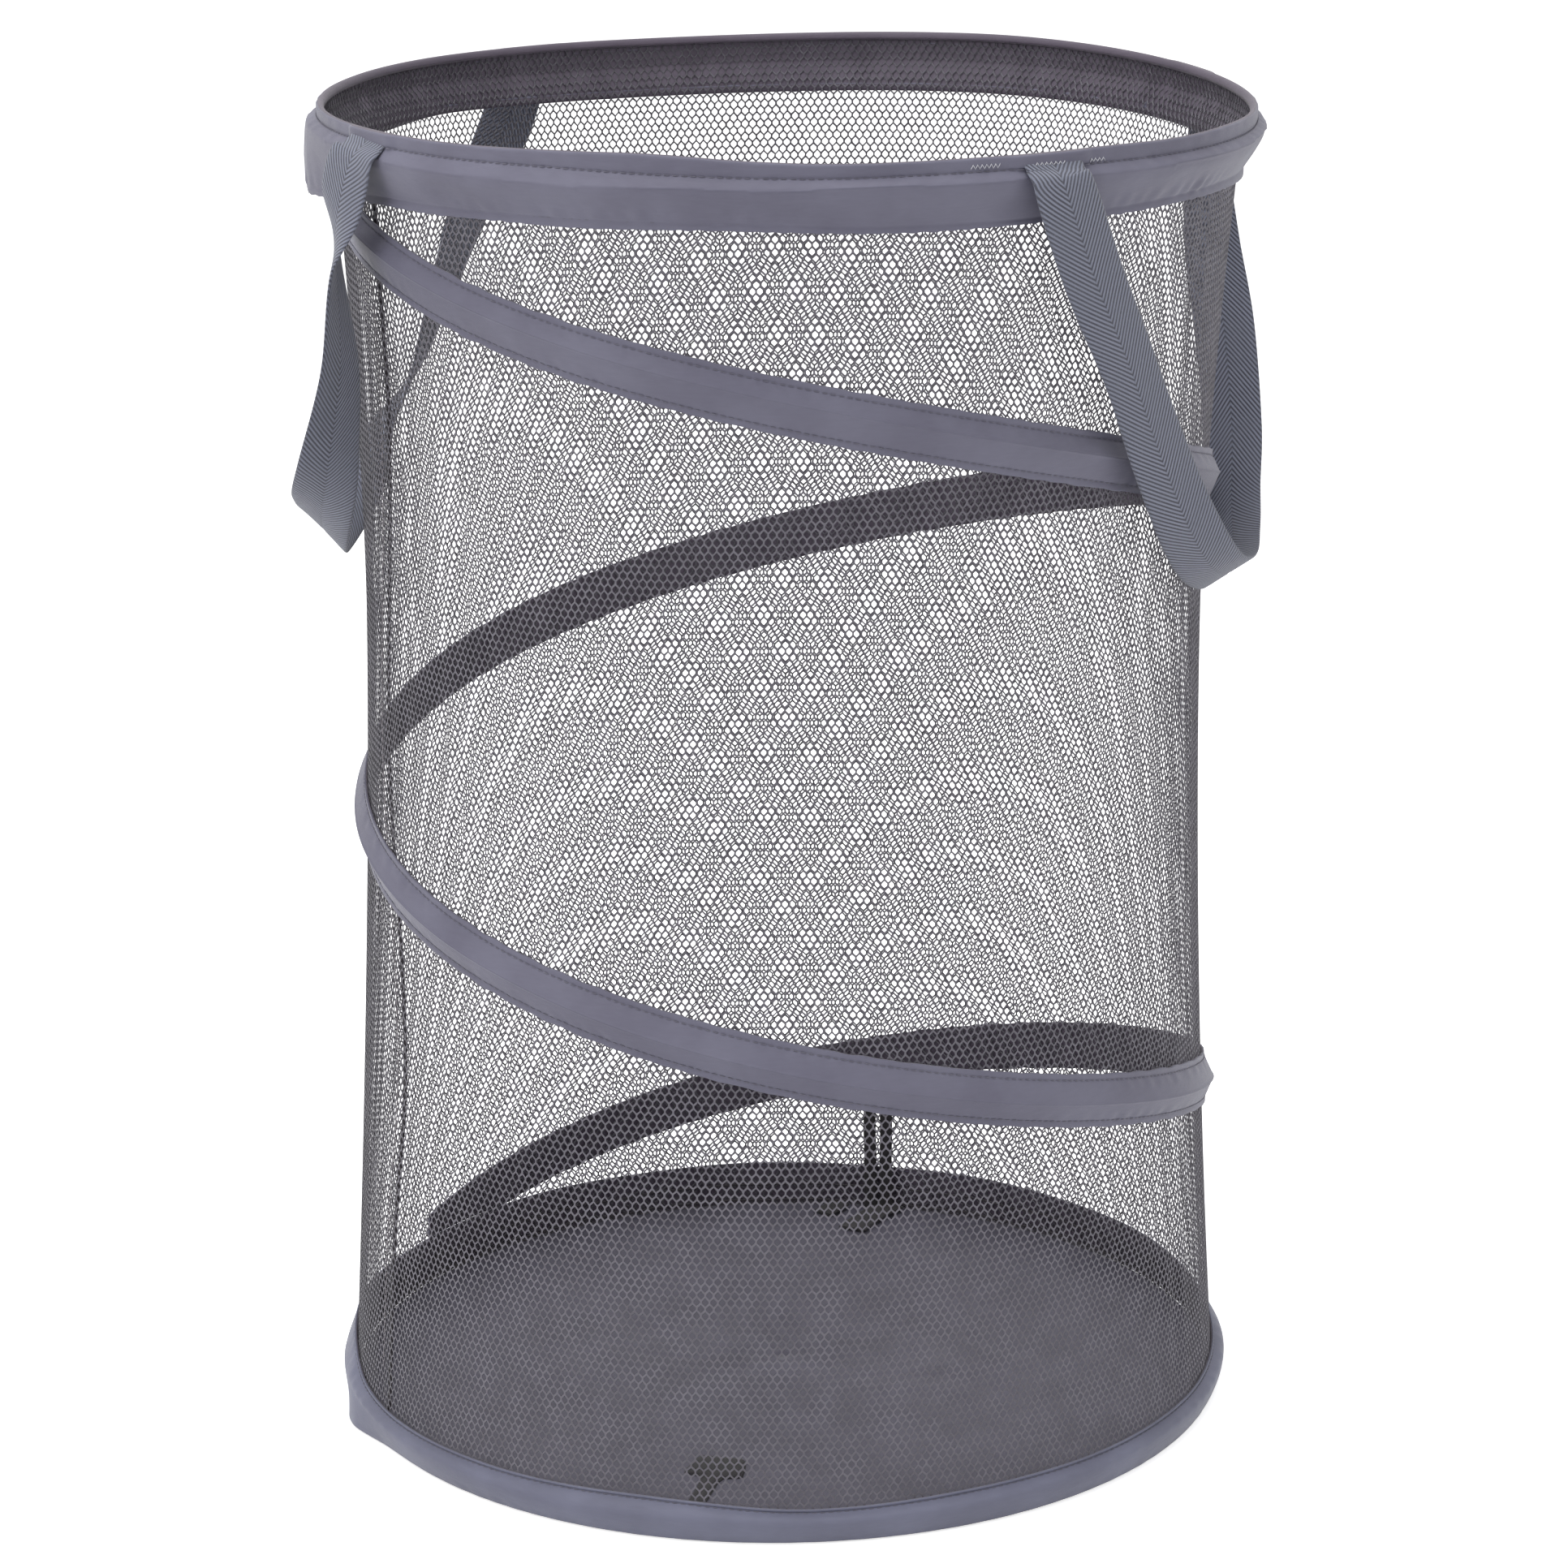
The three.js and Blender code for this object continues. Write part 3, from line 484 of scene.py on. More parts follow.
def net_lattice(first, last, rows):
    """Corners of hexagonal net, flat: each cell has two knots and three yarns. The last four corners of
    a cell are the middles of its knots, on the net's face and as deep as the yarn is thick."""
    pitch = 2 * math.pi * NET_MIDDLE_RADIUS / NET_COLUMNS
    column, row = np.meshgrid(np.arange(first - 1, last + 1), np.arange(rows), indexing="ij")
    odd = row % 2
    middle = (column + 0.5 * odd) * pitch
    level = row * NET_ROW
    slope = math.degrees(math.atan2(NET_RISE, pitch / 2))
    aslant = YARN_WIDTH / 2 / math.sin(math.radians(45 + slope / 2))
    upright = YARN_WIDTH / 2 / math.cos(math.radians(slope))
    turn = 45 - slope / 2
    fork = [(turn, aslant, 0), (180 - turn, aslant, 0), (270, upright, 0)]
    branch = [(90, upright, 0), (180 + turn, aslant, 0), (360 - turn, aslant, 0)]
    knot = [(0, 0, 0), (0, 0, -YARN_DEPTH)]
    corners = []
    for x, z, around in ((middle, level + NET_RISE, fork), (middle + pitch / 2, level, branch),
                         (middle, level + NET_RISE, knot), (middle + pitch / 2, level, knot)):
        for direction, reach, lift in around:
            angle = math.radians(direction)
            spot = [x + reach * math.cos(angle), z + reach * math.sin(angle), np.full_like(x, lift)]
            corners.append(np.stack(spot, axis=-1))
    points = np.stack(corners, axis=2)
    index = np.arange(points[..., 0].size).reshape(points.shape[:3])
    return points, index, row


def net_faces(index, row):
    """Triangles of the cells, for the corners in the order that net_lattice gives."""
    here, right, left = index[1:-1], index[2:], index[:-2]
    even = (row[1:-1, :-1] % 2 == 0)[..., None]
    above = np.where(even, left[:, 1:], here[:, 1:])
    triangles = [here[..., 0:3], here[..., 3:6]]
    low = here[:, :-1]
    quads = [
        [here[..., 2], here[..., 4], here[..., 3], here[..., 0]],
        [here[..., 5], right[..., 2], right[..., 1], here[..., 3]],
        [low[..., 0], above[..., 5], above[..., 4], low[..., 1]],
        [here[..., 6], here[..., 7], here[..., 9], here[..., 8]],
        [here[..., 8], here[..., 9], right[..., 7], right[..., 6]],
        [low[..., 6], low[..., 7], above[..., 9], above[..., 8]],
    ]
    triangles = [corners.reshape(-1, 3) for corners in triangles]
    for a, b, c, d in quads:
        triangles += [np.stack([p.ravel() for p in face], axis=1) for face in ((a, b, c), (a, c, d))]
    return np.concatenate(triangles)


def drop_unused(points, faces):
    used, renumbered = np.unique(faces, return_inverse=True)
    return points[used], renumbered.reshape(faces.shape)


def net_piece(name, first, last, low, top):
    """Net between two columns, wrapped on the wall, with slight unevenness in its cells."""
    rows = int((top - low) / NET_ROW)
    points, index, row = net_lattice(first, last, rows)
    faces = net_faces(index, row)
    flat = points.reshape(-1, 3)
    flat, faces = drop_unused(flat, faces)
    draw = np.random.default_rng(abs(first) + 11)
    x, z = flat[:, 0], low + flat[:, 1]
    sway = 0.4 * np.sin(x / 61 + z / 83) + 0.12 * np.sin(z / 13 - x / 19) + draw.normal(0, 0.05, len(x))
    sag = 0.35 * np.sin(x / 57 - z / 71) + draw.normal(0, 0.05, len(x))
    azimuth = np.degrees((x + sway) / NET_MIDDLE_RADIUS)
    height = np.clip(z + sag, NET_LOW - 0.2, NET_TOP + np.minimum(rim_line(azimuth, RIM_EDGE), 0))
    pucker = 0.18 * NET_PUCKER(azimuth)
    radius = wall(height) - NET_THICKNESS / 2 + pucker + flat[:, 2]
    span = np.ptp(azimuth), np.ptp(height)
    bake = np.stack([(azimuth - azimuth.min()) / span[0], (height - height.min()) / span[1]], axis=1)
    bake = 0.005 + 0.99 * bake
    made = piece(name, place(azimuth, radius, height), faces, "base", "net", {"OFBake": bake})
    # the yarns' depth is no part of the sheet's own area
    yarn_area = sum(face.area for face in made.data.polygons) * YARN_FACE_SHARE
    return made, yarn_area


def net_wall():
    per_panel = NET_COLUMNS // NET_PANELS
    start = round(NET_START / 360 * NET_COLUMNS)
    for number, letter in enumerate("abcdef"):
        first = start + number * per_panel
        made, yarn_area = net_piece(f"side_net_{letter}", first, first + per_panel, NET_LOW, NET_TOP)
        fold_with_hamper(made)
    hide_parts("side_mesh")


def seam_stitches():
    """Light dashes that close the seam, a little to the left of its tape."""
    length, pitch, thick, aside_of_tape = 2.2, 3.4, 0.5, 3.4
    bars = []
    for low in np.arange(NET_LOW + 30, NET_TOP - 30, pitch):
        bar = []
        for share in (0.0, 0.5, 1.0):
            z = low + share * length
            middle = seam_azimuth(z) - math.degrees(aside_of_tape / NET_MIDDLE_RADIUS)
            radius = wall(z) + 0.1 + (0.2 if share == 0.5 else 0)
            for out, aside in DIAMOND:
                turn = math.degrees(aside * thick / 2 / NET_MIDDLE_RADIUS)
                bar.append(place(middle + turn, radius + out * thick / 2, z))
        bars.append(bar)
    made = thread_bars("seam_stitches", bars, "base", "seam_thread")
    fold_with_hamper(made)


def seam_binding():
    """Narrow tape over the seam, on the inside of the net, a little puckered."""
    heights = np.linspace(1.6, HEIGHT - 2, 240)
    ripple = Ripple(21, 300, 700)
    half = math.degrees(1.2 / NET_MIDDLE_RADIUS)
    sides = [(-1.0, 0.0), (0.0, 0.25), (1.0, 0.0), (1.0, -0.7), (0.0, -0.55), (-1.0, -0.7)]
    rings = []
    for z in heights:
        middle = seam_azimuth(z) + 0.12 * ripple(z)
        radius = wall(z) - NET_THICKNESS - 0.3
        rings.append([place(middle + half * side, radius + depth, z) for side, depth in sides])
    made = swept("seam_binding", np.array(rings), "base", "binding")
    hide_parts("seam_tape")
    fold_with_hamper(made)


# Sleeves

SPIRAL_START = -96.0
SPIRAL_END = 600.0
SPIRAL_WIRE_START = -74.0
SPIRAL_WIRE_END = 578.0
SPIRAL_SLEEVE_WIDTH = 20.8
SPIRAL_FALL = (NECK_HEIGHT - BOTTOM_SLEEVE_WIDTH) / (SPIRAL_END - SPIRAL_START)
SPIRAL_SLOPE = math.atan(SPIRAL_FALL / math.radians(WAIST_RADIUS))
SPIRAL_UPRIGHT = SPIRAL_SLEEVE_WIDTH / math.cos(SPIRAL_SLOPE)
STRIP = 1.05
RIDGE = 4.85
STITCH_LENGTH = 2.3
STITCH_GAP = 0.7
THREAD = 0.36
LINING_STAND_OFF = 0.18
LINING_THICKNESS = 0.22
LINING_SHARES = np.array([0.0, 0.1, 0.3, 0.5, 0.7, 0.9, 1.0])
POUCH_AZIMUTH = -90.0
POUCH_SPREAD = 17.0
POUCH_RADIUS = 186.7
POUCH_DEPTH = 10.0
POUCH_MIDDLE = 508.0
POUCH_REACH = 26.0
TOP_STITCH = 525.7
TOP_HEM = 509.3
FOOT_HEM = 1.3
# The rim's folded edge, from the inside over the top: distance from the net's face, height
RIM_LIP = [(-1.9, 527.4), (-1.95, 528.6), (-1.8, 529.6), (-1.2, 530.3), (-0.4, 530.6), (0.5, 530.4)]
HOOP_STEPS = 1320


def spiral_middle(azimuth):
    return NECK_HEIGHT - SPIRAL_FALL * (azimuth - SPIRAL_START)


def spiral_wire_height(azimuth):
    passed = (azimuth - SPIRAL_START) / (SPIRAL_END - SPIRAL_START)
    return spiral_middle(azimuth) + SPIRAL_UPRIGHT * (0.5 - (0.36 + 0.24 * passed))


def tent(z, upper, ridge, lower, sharp):
    """Cloth pulled over a wire: 0 at the two stitch lines, 1 over the wire."""
    above = (upper - z) / (upper - ridge)
    below = (z - lower) / (ridge - lower)
    height = np.clip(np.minimum(above, below), 0, 1)
    return height - 0.1 * np.exp(-((z - ridge) / sharp) ** 2)


def near(z, line, reach):
    """1 on a line, fading away from it on both sides."""
    return np.exp(-((z - line) / reach) ** 2)


def band(name, azimuths, heights, stand_off, body, closed, lip=None, lining=None, finish="sleeve"):
    """Cloth folded round a wire: an outer layer, and a flat lining between the wire and the net.
    heights and stand_off have a row per azimuth, from the upper edge to the lower one, and so has
    lining where it isn't as high as the outer layer. lip is a list of (stand-off, height) per
    azimuth that folds over the rim."""
    lining = heights if lining is None else lining
    around = np.asarray(azimuths)[:, None]
    places = LINING_SHARES * (heights.shape[1] - 1)
    low = np.minimum(places.astype(int), heights.shape[1] - 2)
    part = places - low
    flat = lining[:, low] * (1 - part) + lining[:, low + 1] * part
    face = np.full(flat.shape, LINING_STAND_OFF)
    back = face + LINING_THICKNESS
    layers = [(stand_off, heights), (face[:, ::-1], flat[:, ::-1]), (back, flat),
              (stand_off[:, ::-1] - CLOTH_THICKNESS, heights[:, ::-1])]
    if lip is not None:
        layers = [(lip[..., 0], lip[..., 1])] + layers
    off = np.concatenate([layer[0] for layer in layers], axis=1)
    z = np.concatenate([layer[1] for layer in layers], axis=1)
    rings = place(around, wall(np.clip(z, 0, HEIGHT)) + off, z)
    made = swept(name, rings, body, finish, closed)
    # the lining, and every face of the lip over the rim, its top too, take the darker lining finish: painted
    # shade for the inside of the cloth and the rim's edge
    first = heights.shape[1] + (lip.shape[1] if lip is not None else 0)
    inside = set(range(first - 1, first + len(places))) | (set(range(5)) if lip is not None else set())
    made.data.materials.append(FINISHES["lining"])
    for number, face in enumerate(made.data.polygons):
        face.material_index = int(number % rings.shape[1] in inside)
    return made


def on_strip(azimuth, z):
    """Radius of a flat strip of cloth that is sewn to the net."""
    return wall(z) + STRIP + 0.02


def stitches(name, azimuths, radius_at, height_at, body):
    """A row of lockstitches, one small bar each, lying along a line round the hamper."""
    step = math.degrees((STITCH_LENGTH + STITCH_GAP) / NET_MIDDLE_RADIUS)
    reach = math.degrees(STITCH_LENGTH / NET_MIDDLE_RADIUS)
    starts = np.arange(azimuths[0], azimuths[1] - reach, step)
    shares = np.array([0.0, 0.18, 0.5, 0.82, 1.0])
    lifts = np.array([-0.5, 0.25, 0.5, 0.25, -0.5])
    fats = np.array([0.45, 0.95, 1.0, 0.95, 0.45])
    around = starts[:, None] + shares[None] * reach
    z = height_at(around)
    radius = radius_at(around, z) + lifts[None] * THREAD
    angles = np.radians([45, 135, 225, 315])
    out = radius[..., None] + np.cos(angles) * fats[None, :, None] * THREAD / 2
    up = z[..., None] + np.sin(angles) * fats[None, :, None] * THREAD / 2
    return thread_bars(name, place(around[..., None], out, up), body, "thread")


def top_sleeve():
    azimuths = np.linspace(0, 360, HOOP_STEPS, endpoint=False)
    heights = np.array([529.9, 529.3, 528.2, 527.2, 526.4, 525.9, 525.7, 525.4, 524.8, 524.0, 523.0,
                        522.2, 521.4, 520.7, 520.0, 519.3, 518.4, 517.2, 515.8, 514.4, 513.2, 512.1,
                        511.2, 510.4, 509.8, 509.3, 508.8, 508.2, 507.4, 506.7, 506.4])
    even = np.repeat(heights[None], len(azimuths), axis=0)
    clusters = np.clip(Ripple(3, 2, 9)(azimuths) + 0.35, 0, 1)
    creases = (Ripple(31, 70, 150)(azimuths) * clusters)[:, None]
    upper = Ripple(33, 60, 140)(azimuths)[:, None]
    slow = Ripple(35, 4, 17)(azimuths)[:, None]
    edge, stitch, ridge_drop, hem, foot = [
        rim_line(azimuths, which)[:, None] for which in (RIM_EDGE, RIM_STITCH, RIM_RIDGE, RIM_HEM, RIM_FOOT)]
    ridge = TOP_HOOP_HEIGHT + 0.6 + 0.7 * slow + ridge_drop
    off = STRIP + (RIDGE + 0.35 - STRIP) * tent(even, TOP_STITCH, ridge, TOP_HEM, 1.4)
    # the net swells out behind the hoop, so the cloth below it is measured from the neck
    taut = wall(TOP_HEM) + STRIP + (wall(TOP_HOOP_HEIGHT) + RIDGE + 0.35 - wall(TOP_HEM) - STRIP) * tent(
        even, TOP_STITCH, ridge, TOP_HEM, 1.4)
    # each height moves with the two lines that it lies between
    above = np.clip((even - ridge) / (TOP_STITCH - ridge), 0, 1)
    strip = np.clip((even - TOP_STITCH) / (heights[0] - TOP_STITCH), 0, 1)
    below = np.clip((ridge - even) / (ridge - TOP_HEM), 0, 1)
    end = np.clip((TOP_HEM - even) / (TOP_HEM - heights[-1]), 0, 1)
    drop = np.where(even > TOP_STITCH, stitch + (edge - stitch) * strip, stitch * above)
    drop = np.where(even < ridge, hem * below + (foot - hem) * end, drop)
    z = even + drop
    off = np.where(even < ridge, np.maximum(taut - wall(z), STRIP), off)
    # at the left the cloth hangs lower in a soft pouch
    pouch = np.exp(-((azimuths[:, None] - 360 - POUCH_AZIMUTH) / POUCH_SPREAD) ** 2)
    pouch_off = POUCH_RADIUS - POUCH_DEPTH * (np.abs(z - POUCH_MIDDLE) / POUCH_REACH) ** 3.5 - wall(z)
    hangs = np.where(even < ridge, np.clip(pouch * 1.5, 0, 1), 0)
    off = off * (1 - hangs) + np.maximum(off, pouch_off) * hangs
    off = off + 0.75 * creases * near(z, TOP_HEM + hem + 2.6, 2.6)
    off = off + 0.2 * upper * near(z, TOP_STITCH + stitch - 1.2, 1.4)
    off = off + 0.4 * Ripple(36, 9, 40)(azimuths)[:, None] * near(z, 514 + hem / 2, 4.0)
    off = off - 0.25 * near(z, TOP_STITCH + stitch, 0.5) - 0.25 * near(z, TOP_HEM + hem, 0.5)
    over_roots = np.clip((z - TOP_STITCH - stitch + 0.8) / 1.2, 0, 1)
    off = off + ROOT_SWELL * root_swell(azimuths)[:, None] * over_roots
    wavy = 0.22 * Ripple(37, 90, 200)(azimuths)[:, None] + 0.25 * slow
    z = z + wavy * near(z, 506.4 + foot, 1.2)
    off = off + 0.12 * Ripple(39, 40, 110)(azimuths)[:, None] * near(z, 529.0 + edge, 2.0)
    lip = np.repeat(np.array(RIM_LIP)[None], len(azimuths), axis=0)
    lip[..., 1] += edge
    lip[:, -1, 0] += 1.0 * root_swell(azimuths)
    lining = even + np.where(even > TOP_STITCH, drop, 0)
    lining = lining + end * (np.maximum(foot, -4) * (1 - pouch) + 2.0 * pouch)
    made = band("top_sleeve_cloth", azimuths, z, off, "top", True, lip, lining)
    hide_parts("top_sleeve")
    threads = [
        stitches("top_stitches_upper", (0, 360), lambda a, z: on_strip(a, z) + ROOT_SWELL * root_swell(a),
                 lambda a: TOP_STITCH + rim_line(a, RIM_STITCH), "top"),
        stitches("top_stitches_hem", (-72, 250), on_strip, lambda a: TOP_HEM + rim_line(a, RIM_HEM), "top"),
    ]


# Height of the bottom sleeve's upper edge at places round the hamper: azimuth, millimetres. In front the
# cloth has rolled down over the hoop.
FOOT_EDGE = [
    (-180, 20.4), (-145, 20.9), (-112, 20.9), (-98, 24.5), (-88, 23.5), (-81, 18.5), (-75, 14.2),
    (-66, 13.6), (-50, 13.8), (-40, 14.6), (-30, 15.8), (-20, 16.3), (-10, 15.2), (0, 13.6), (15, 13.8),
    (35, 14.6), (50, 13.7), (70, 13.6), (84, 14.5), (100, 18.5), (120, 20.2), (180, 20.4),
]
CORNER_AZIMUTH = -71.0
CORNER_REACH = 6.2


def bottom_sleeve():
    azimuths = np.linspace(0, 360, HOOP_STEPS, endpoint=False)
    around = azimuths[:, None]
    places, edges = zip(*FOOT_EDGE)
    edge = sum(np.interp(azimuths + shift, places, edges, period=360) for shift in (-3, 0, 3)) / 3
    edge = edge[:, None]
    slow = Ripple(45, 3, 13)(azimuths)[:, None]
    edge = edge + 0.25 * slow
    stitch = edge - FOOT_HEM
    ridge = BOTTOM_HOOP_HEIGHT - 0.6 + 0.3 * slow
    upper = np.array([0.0, 0.3, 0.55, 0.8, 0.92, 1.0])
    middle = np.array([0.04, 0.1, 0.18, 0.28, 0.4, 0.55, 0.7, 0.85, 1.0])
    lower = np.array([0.08, 0.18, 0.3, 0.42, 0.54, 0.66, 0.76, 0.85, 0.91, 0.96, 1.0])
    foot = 0.4
    z = np.concatenate([edge - (edge - stitch) * upper, stitch - (stitch - ridge) * middle,
                        ridge - (ridge - foot) * lower], axis=1)
    # a sleeve that has rolled down lies close round the wire, a tall one slants to it
    tall = np.clip((stitch - 12.5) / 5, 0, 1)
    rise = 1 - (1 - middle) ** (3.2 - 2.0 * tall)
    lift = RIDGE + 0.2 - STRIP
    off = np.concatenate([0 * edge + STRIP + 0 * upper, STRIP + lift * rise,
                          STRIP + 0.4 + (lift - 0.4) * (1 - lower ** 1.5) + 0 * edge], axis=1)
    corner = np.exp(-((around - 360 - CORNER_AZIMUTH) / 6.5) ** 2)
    off = off + CORNER_REACH * corner * np.clip((ridge - z) / (ridge - foot), 0, 1)
    off = off + 0.22 * Ripple(41, 60, 140)(azimuths)[:, None] * near(z, stitch - 1.5, 1.4)
    off = off + 0.16 * Ripple(43, 60, 140)(azimuths)[:, None] * near(z, 1.6, 1.3)
    off = off - 0.3 * near(z, stitch, 0.45) + 0.15 * near(z, edge - 0.4, 0.5)
    made = band("bottom_sleeve_cloth", azimuths, z, off, "base", True, finish="foot_sleeve")
    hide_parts("bottom_sleeve")
    thread = stitches("bottom_stitches", (0, 360), lambda a, z: wall(z) + STRIP,
                      lambda a: np.interp(a, azimuths, stitch[:, 0], period=360), "base")


SPIRAL_SEAM = 2.5


def spiral_edges(azimuth):
    """Upper and lower edge of the spiral sleeve, cut off along the hems of the two hoop sleeves."""
    middle = spiral_middle(azimuth)
    top = np.minimum(middle + SPIRAL_UPRIGHT / 2, NECK_HEIGHT - CLEARANCE)
    bottom = np.maximum(middle - SPIRAL_UPRIGHT / 2, BOTTOM_SLEEVE_WIDTH + CLEARANCE)
    return top, bottom


def spiral_sleeve():
    azimuths = np.linspace(SPIRAL_START, SPIRAL_END, 2100)
    top, bottom = spiral_edges(azimuths)
    squeeze = ((top - bottom) / SPIRAL_UPRIGHT)[:, None]
    wire = spiral_wire_height(azimuths)
    ridge = top[:, None] - (spiral_middle(azimuths) + SPIRAL_UPRIGHT / 2 - wire)[:, None] * squeeze
    # rows lie close together at the edges, at the stitches and over the wire
    edge_rows = np.array([0, 0.6, 1.25, 1.9, 2.4, 2.7, 3.3]) * squeeze
    wire_rows = np.array([1.6, 1.1, 0.7, 0.35, 0, -0.35, -0.7, -1.1, -1.6]) * squeeze
    face_shares = np.array([0.25, 0.5, 0.75])
    first_rows, last_rows = top[:, None] - edge_rows, bottom[:, None] + edge_rows[:, ::-1]
    middle_rows = ridge + wire_rows
    upper_face = first_rows[:, -1:] + (middle_rows[:, :1] - first_rows[:, -1:]) * face_shares
    lower_face = middle_rows[:, -1:] + (last_rows[:, :1] - middle_rows[:, -1:]) * face_shares
    z = np.concatenate([first_rows, upper_face, middle_rows, lower_face, last_rows], axis=1)
    seam = SPIRAL_SEAM * squeeze
    past_wire = np.maximum(SPIRAL_WIRE_START - azimuths, azimuths - SPIRAL_WIRE_END)
    bulge = np.clip(1 - (past_wire - 12) / 6, 0, 1)[:, None]
    slow = Ripple(55, 3, 15)(azimuths)[:, None]
    lifted = (RIDGE - STRIP + 0.3 * slow) * bulge
    upper, lower = top[:, None] - seam, bottom[:, None] + seam
    off = STRIP + lifted * tent(z, upper, ridge, lower, 0.9)
    off = off + 0.55 * bulge * near(z, ridge, 0.6)
    off = off + 0.28 * Ripple(51, 60, 150)(azimuths)[:, None] * near(z, upper - 1.6, 1.6)
    off = off + 0.28 * Ripple(53, 60, 150)(azimuths)[:, None] * near(z, lower + 1.6, 1.6)
    off = off - 0.2 * near(z, upper, 0.5) - 0.2 * near(z, lower, 0.5)
    edge_wave = 0.25 * Ripple(57, 30, 120)(azimuths)[:, None]
    z = z + edge_wave * (near(z, top[:, None], 1.5) + near(z, bottom[:, None], 1.5)) * (squeeze > 0.999)
    made = band("spiral_sleeve_cloth", azimuths, z, off, "base", False)
    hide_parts("spiral_sleeve")
    fold_with_hamper(made)
    threads = [
        stitches("spiral_stitches_upper", (SPIRAL_START + 6, SPIRAL_END - 14), on_strip,
                 lambda a: spiral_edges(a)[0] - SPIRAL_SEAM, "base"),
        stitches("spiral_stitches_lower", (SPIRAL_START + 14, SPIRAL_END - 6), on_strip,
                 lambda a: spiral_edges(a)[1] + SPIRAL_SEAM, "base"),
    ]
    for thread in threads:
        fold_with_hamper(thread)


# Spring wire in the spiral sleeve

WIRE_DIAMETER = 2.0
CAP_DIAMETER = 3.0
CAP_LENGTH = 12.0
CAP_FLOOR = 2.0


def along_wire(name, azimuths, radii, finish):
    """A round bar along the spiral wire's line, with a radius per azimuth."""
    height = spiral_wire_height(azimuths)
    half = CAP_DIAMETER / 2
    nearest = np.max([wall(height - half), wall(height), wall(height + half)], axis=0)
    middle = nearest + CLEARANCE + half
    angles = np.radians(np.arange(0, 360, 36))
    out = middle[:, None] + radii[:, None] * np.cos(angles)
    up = height[:, None] + radii[:, None] * np.sin(angles)
    made = swept(name, place(azimuths[:, None], out, up), "base", finish)
    fold_with_hamper(made)
    return made


def spring_wire():
    """The spiral wire and the moulded caps on its two ends, hidden in the sleeve."""
    azimuths = np.linspace(SPIRAL_WIRE_START, SPIRAL_WIRE_END, 1300)
    wire = along_wire("spring_wire", azimuths, np.full(1300, WIRE_DIAMETER / 2), "steel")
    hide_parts("spiral_wire")
    for end, start, direction in (("upper", SPIRAL_WIRE_START, -1), ("lower", SPIRAL_WIRE_END, 1)):
        # the cap is rounded off at its tip, past the end of the wire
        lengths = np.concatenate([np.linspace(0, 1.5, 7), np.linspace(2, CAP_LENGTH, 11)])
        radii = CAP_DIAMETER / 2 * np.sqrt(np.clip(1 - (1 - lengths / 1.5).clip(0) ** 2, 0.04, 1))
        tip = start + direction * math.degrees((CAP_FLOOR + CLEARANCE) / WAIST_RADIUS)
        places = tip - direction * np.degrees(lengths / WAIST_RADIUS)
        cap = along_wire(f"wire_cap_{end}", places, radii, "cap")
        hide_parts(f"spiral_cap_{end}")


# Floor cloth


def floor_cloth():
    """Round bottom cloth, a little loose, with its underside flat on what the hamper stands on."""
    edge = wall(0.0) - NET_THICKNESS - 0.5
    radii = np.concatenate([[0.6], np.linspace(6, edge - 3, 60), [edge - 1.5, edge - 0.5, edge]])
    azimuths = np.linspace(0, 360, 240, endpoint=False)
    around, reach = np.meshgrid(azimuths, radii, indexing="ij")
    turn = np.radians(around)
    x, y = reach * np.sin(turn), -reach * np.cos(turn)
    loose = np.sin(x / 24 + 0.7 * np.sin(y / 31)) * np.sin(y / 37 + 0.5) * 0.5 + 0.5
    fade = np.clip((edge - reach) / 25, 0, 1)
    top = 1.25 + 0.9 * loose * fade
    upper = np.stack([x, y, top], axis=-1)
    lower = np.stack([x, y, np.zeros_like(x)], axis=-1)[:, ::-1]
    rings = np.concatenate([upper, lower], axis=1) * MM
    made = swept("floor_cloth", rings, "base", "floor", True)
    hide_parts("floor_panel")


# Webbing handles

WEBBING_THICKNESS = 1.3
PRESSED_THICKNESS = 0.5
HANDLE_DROP = 176.0
ROOT_HEIGHT = 524.15
ROOT_RADIUS = 182.6
ROOT_COVER = 1.25
HANG_RADIUS = 187.3
HANDLE_STEPS = 200
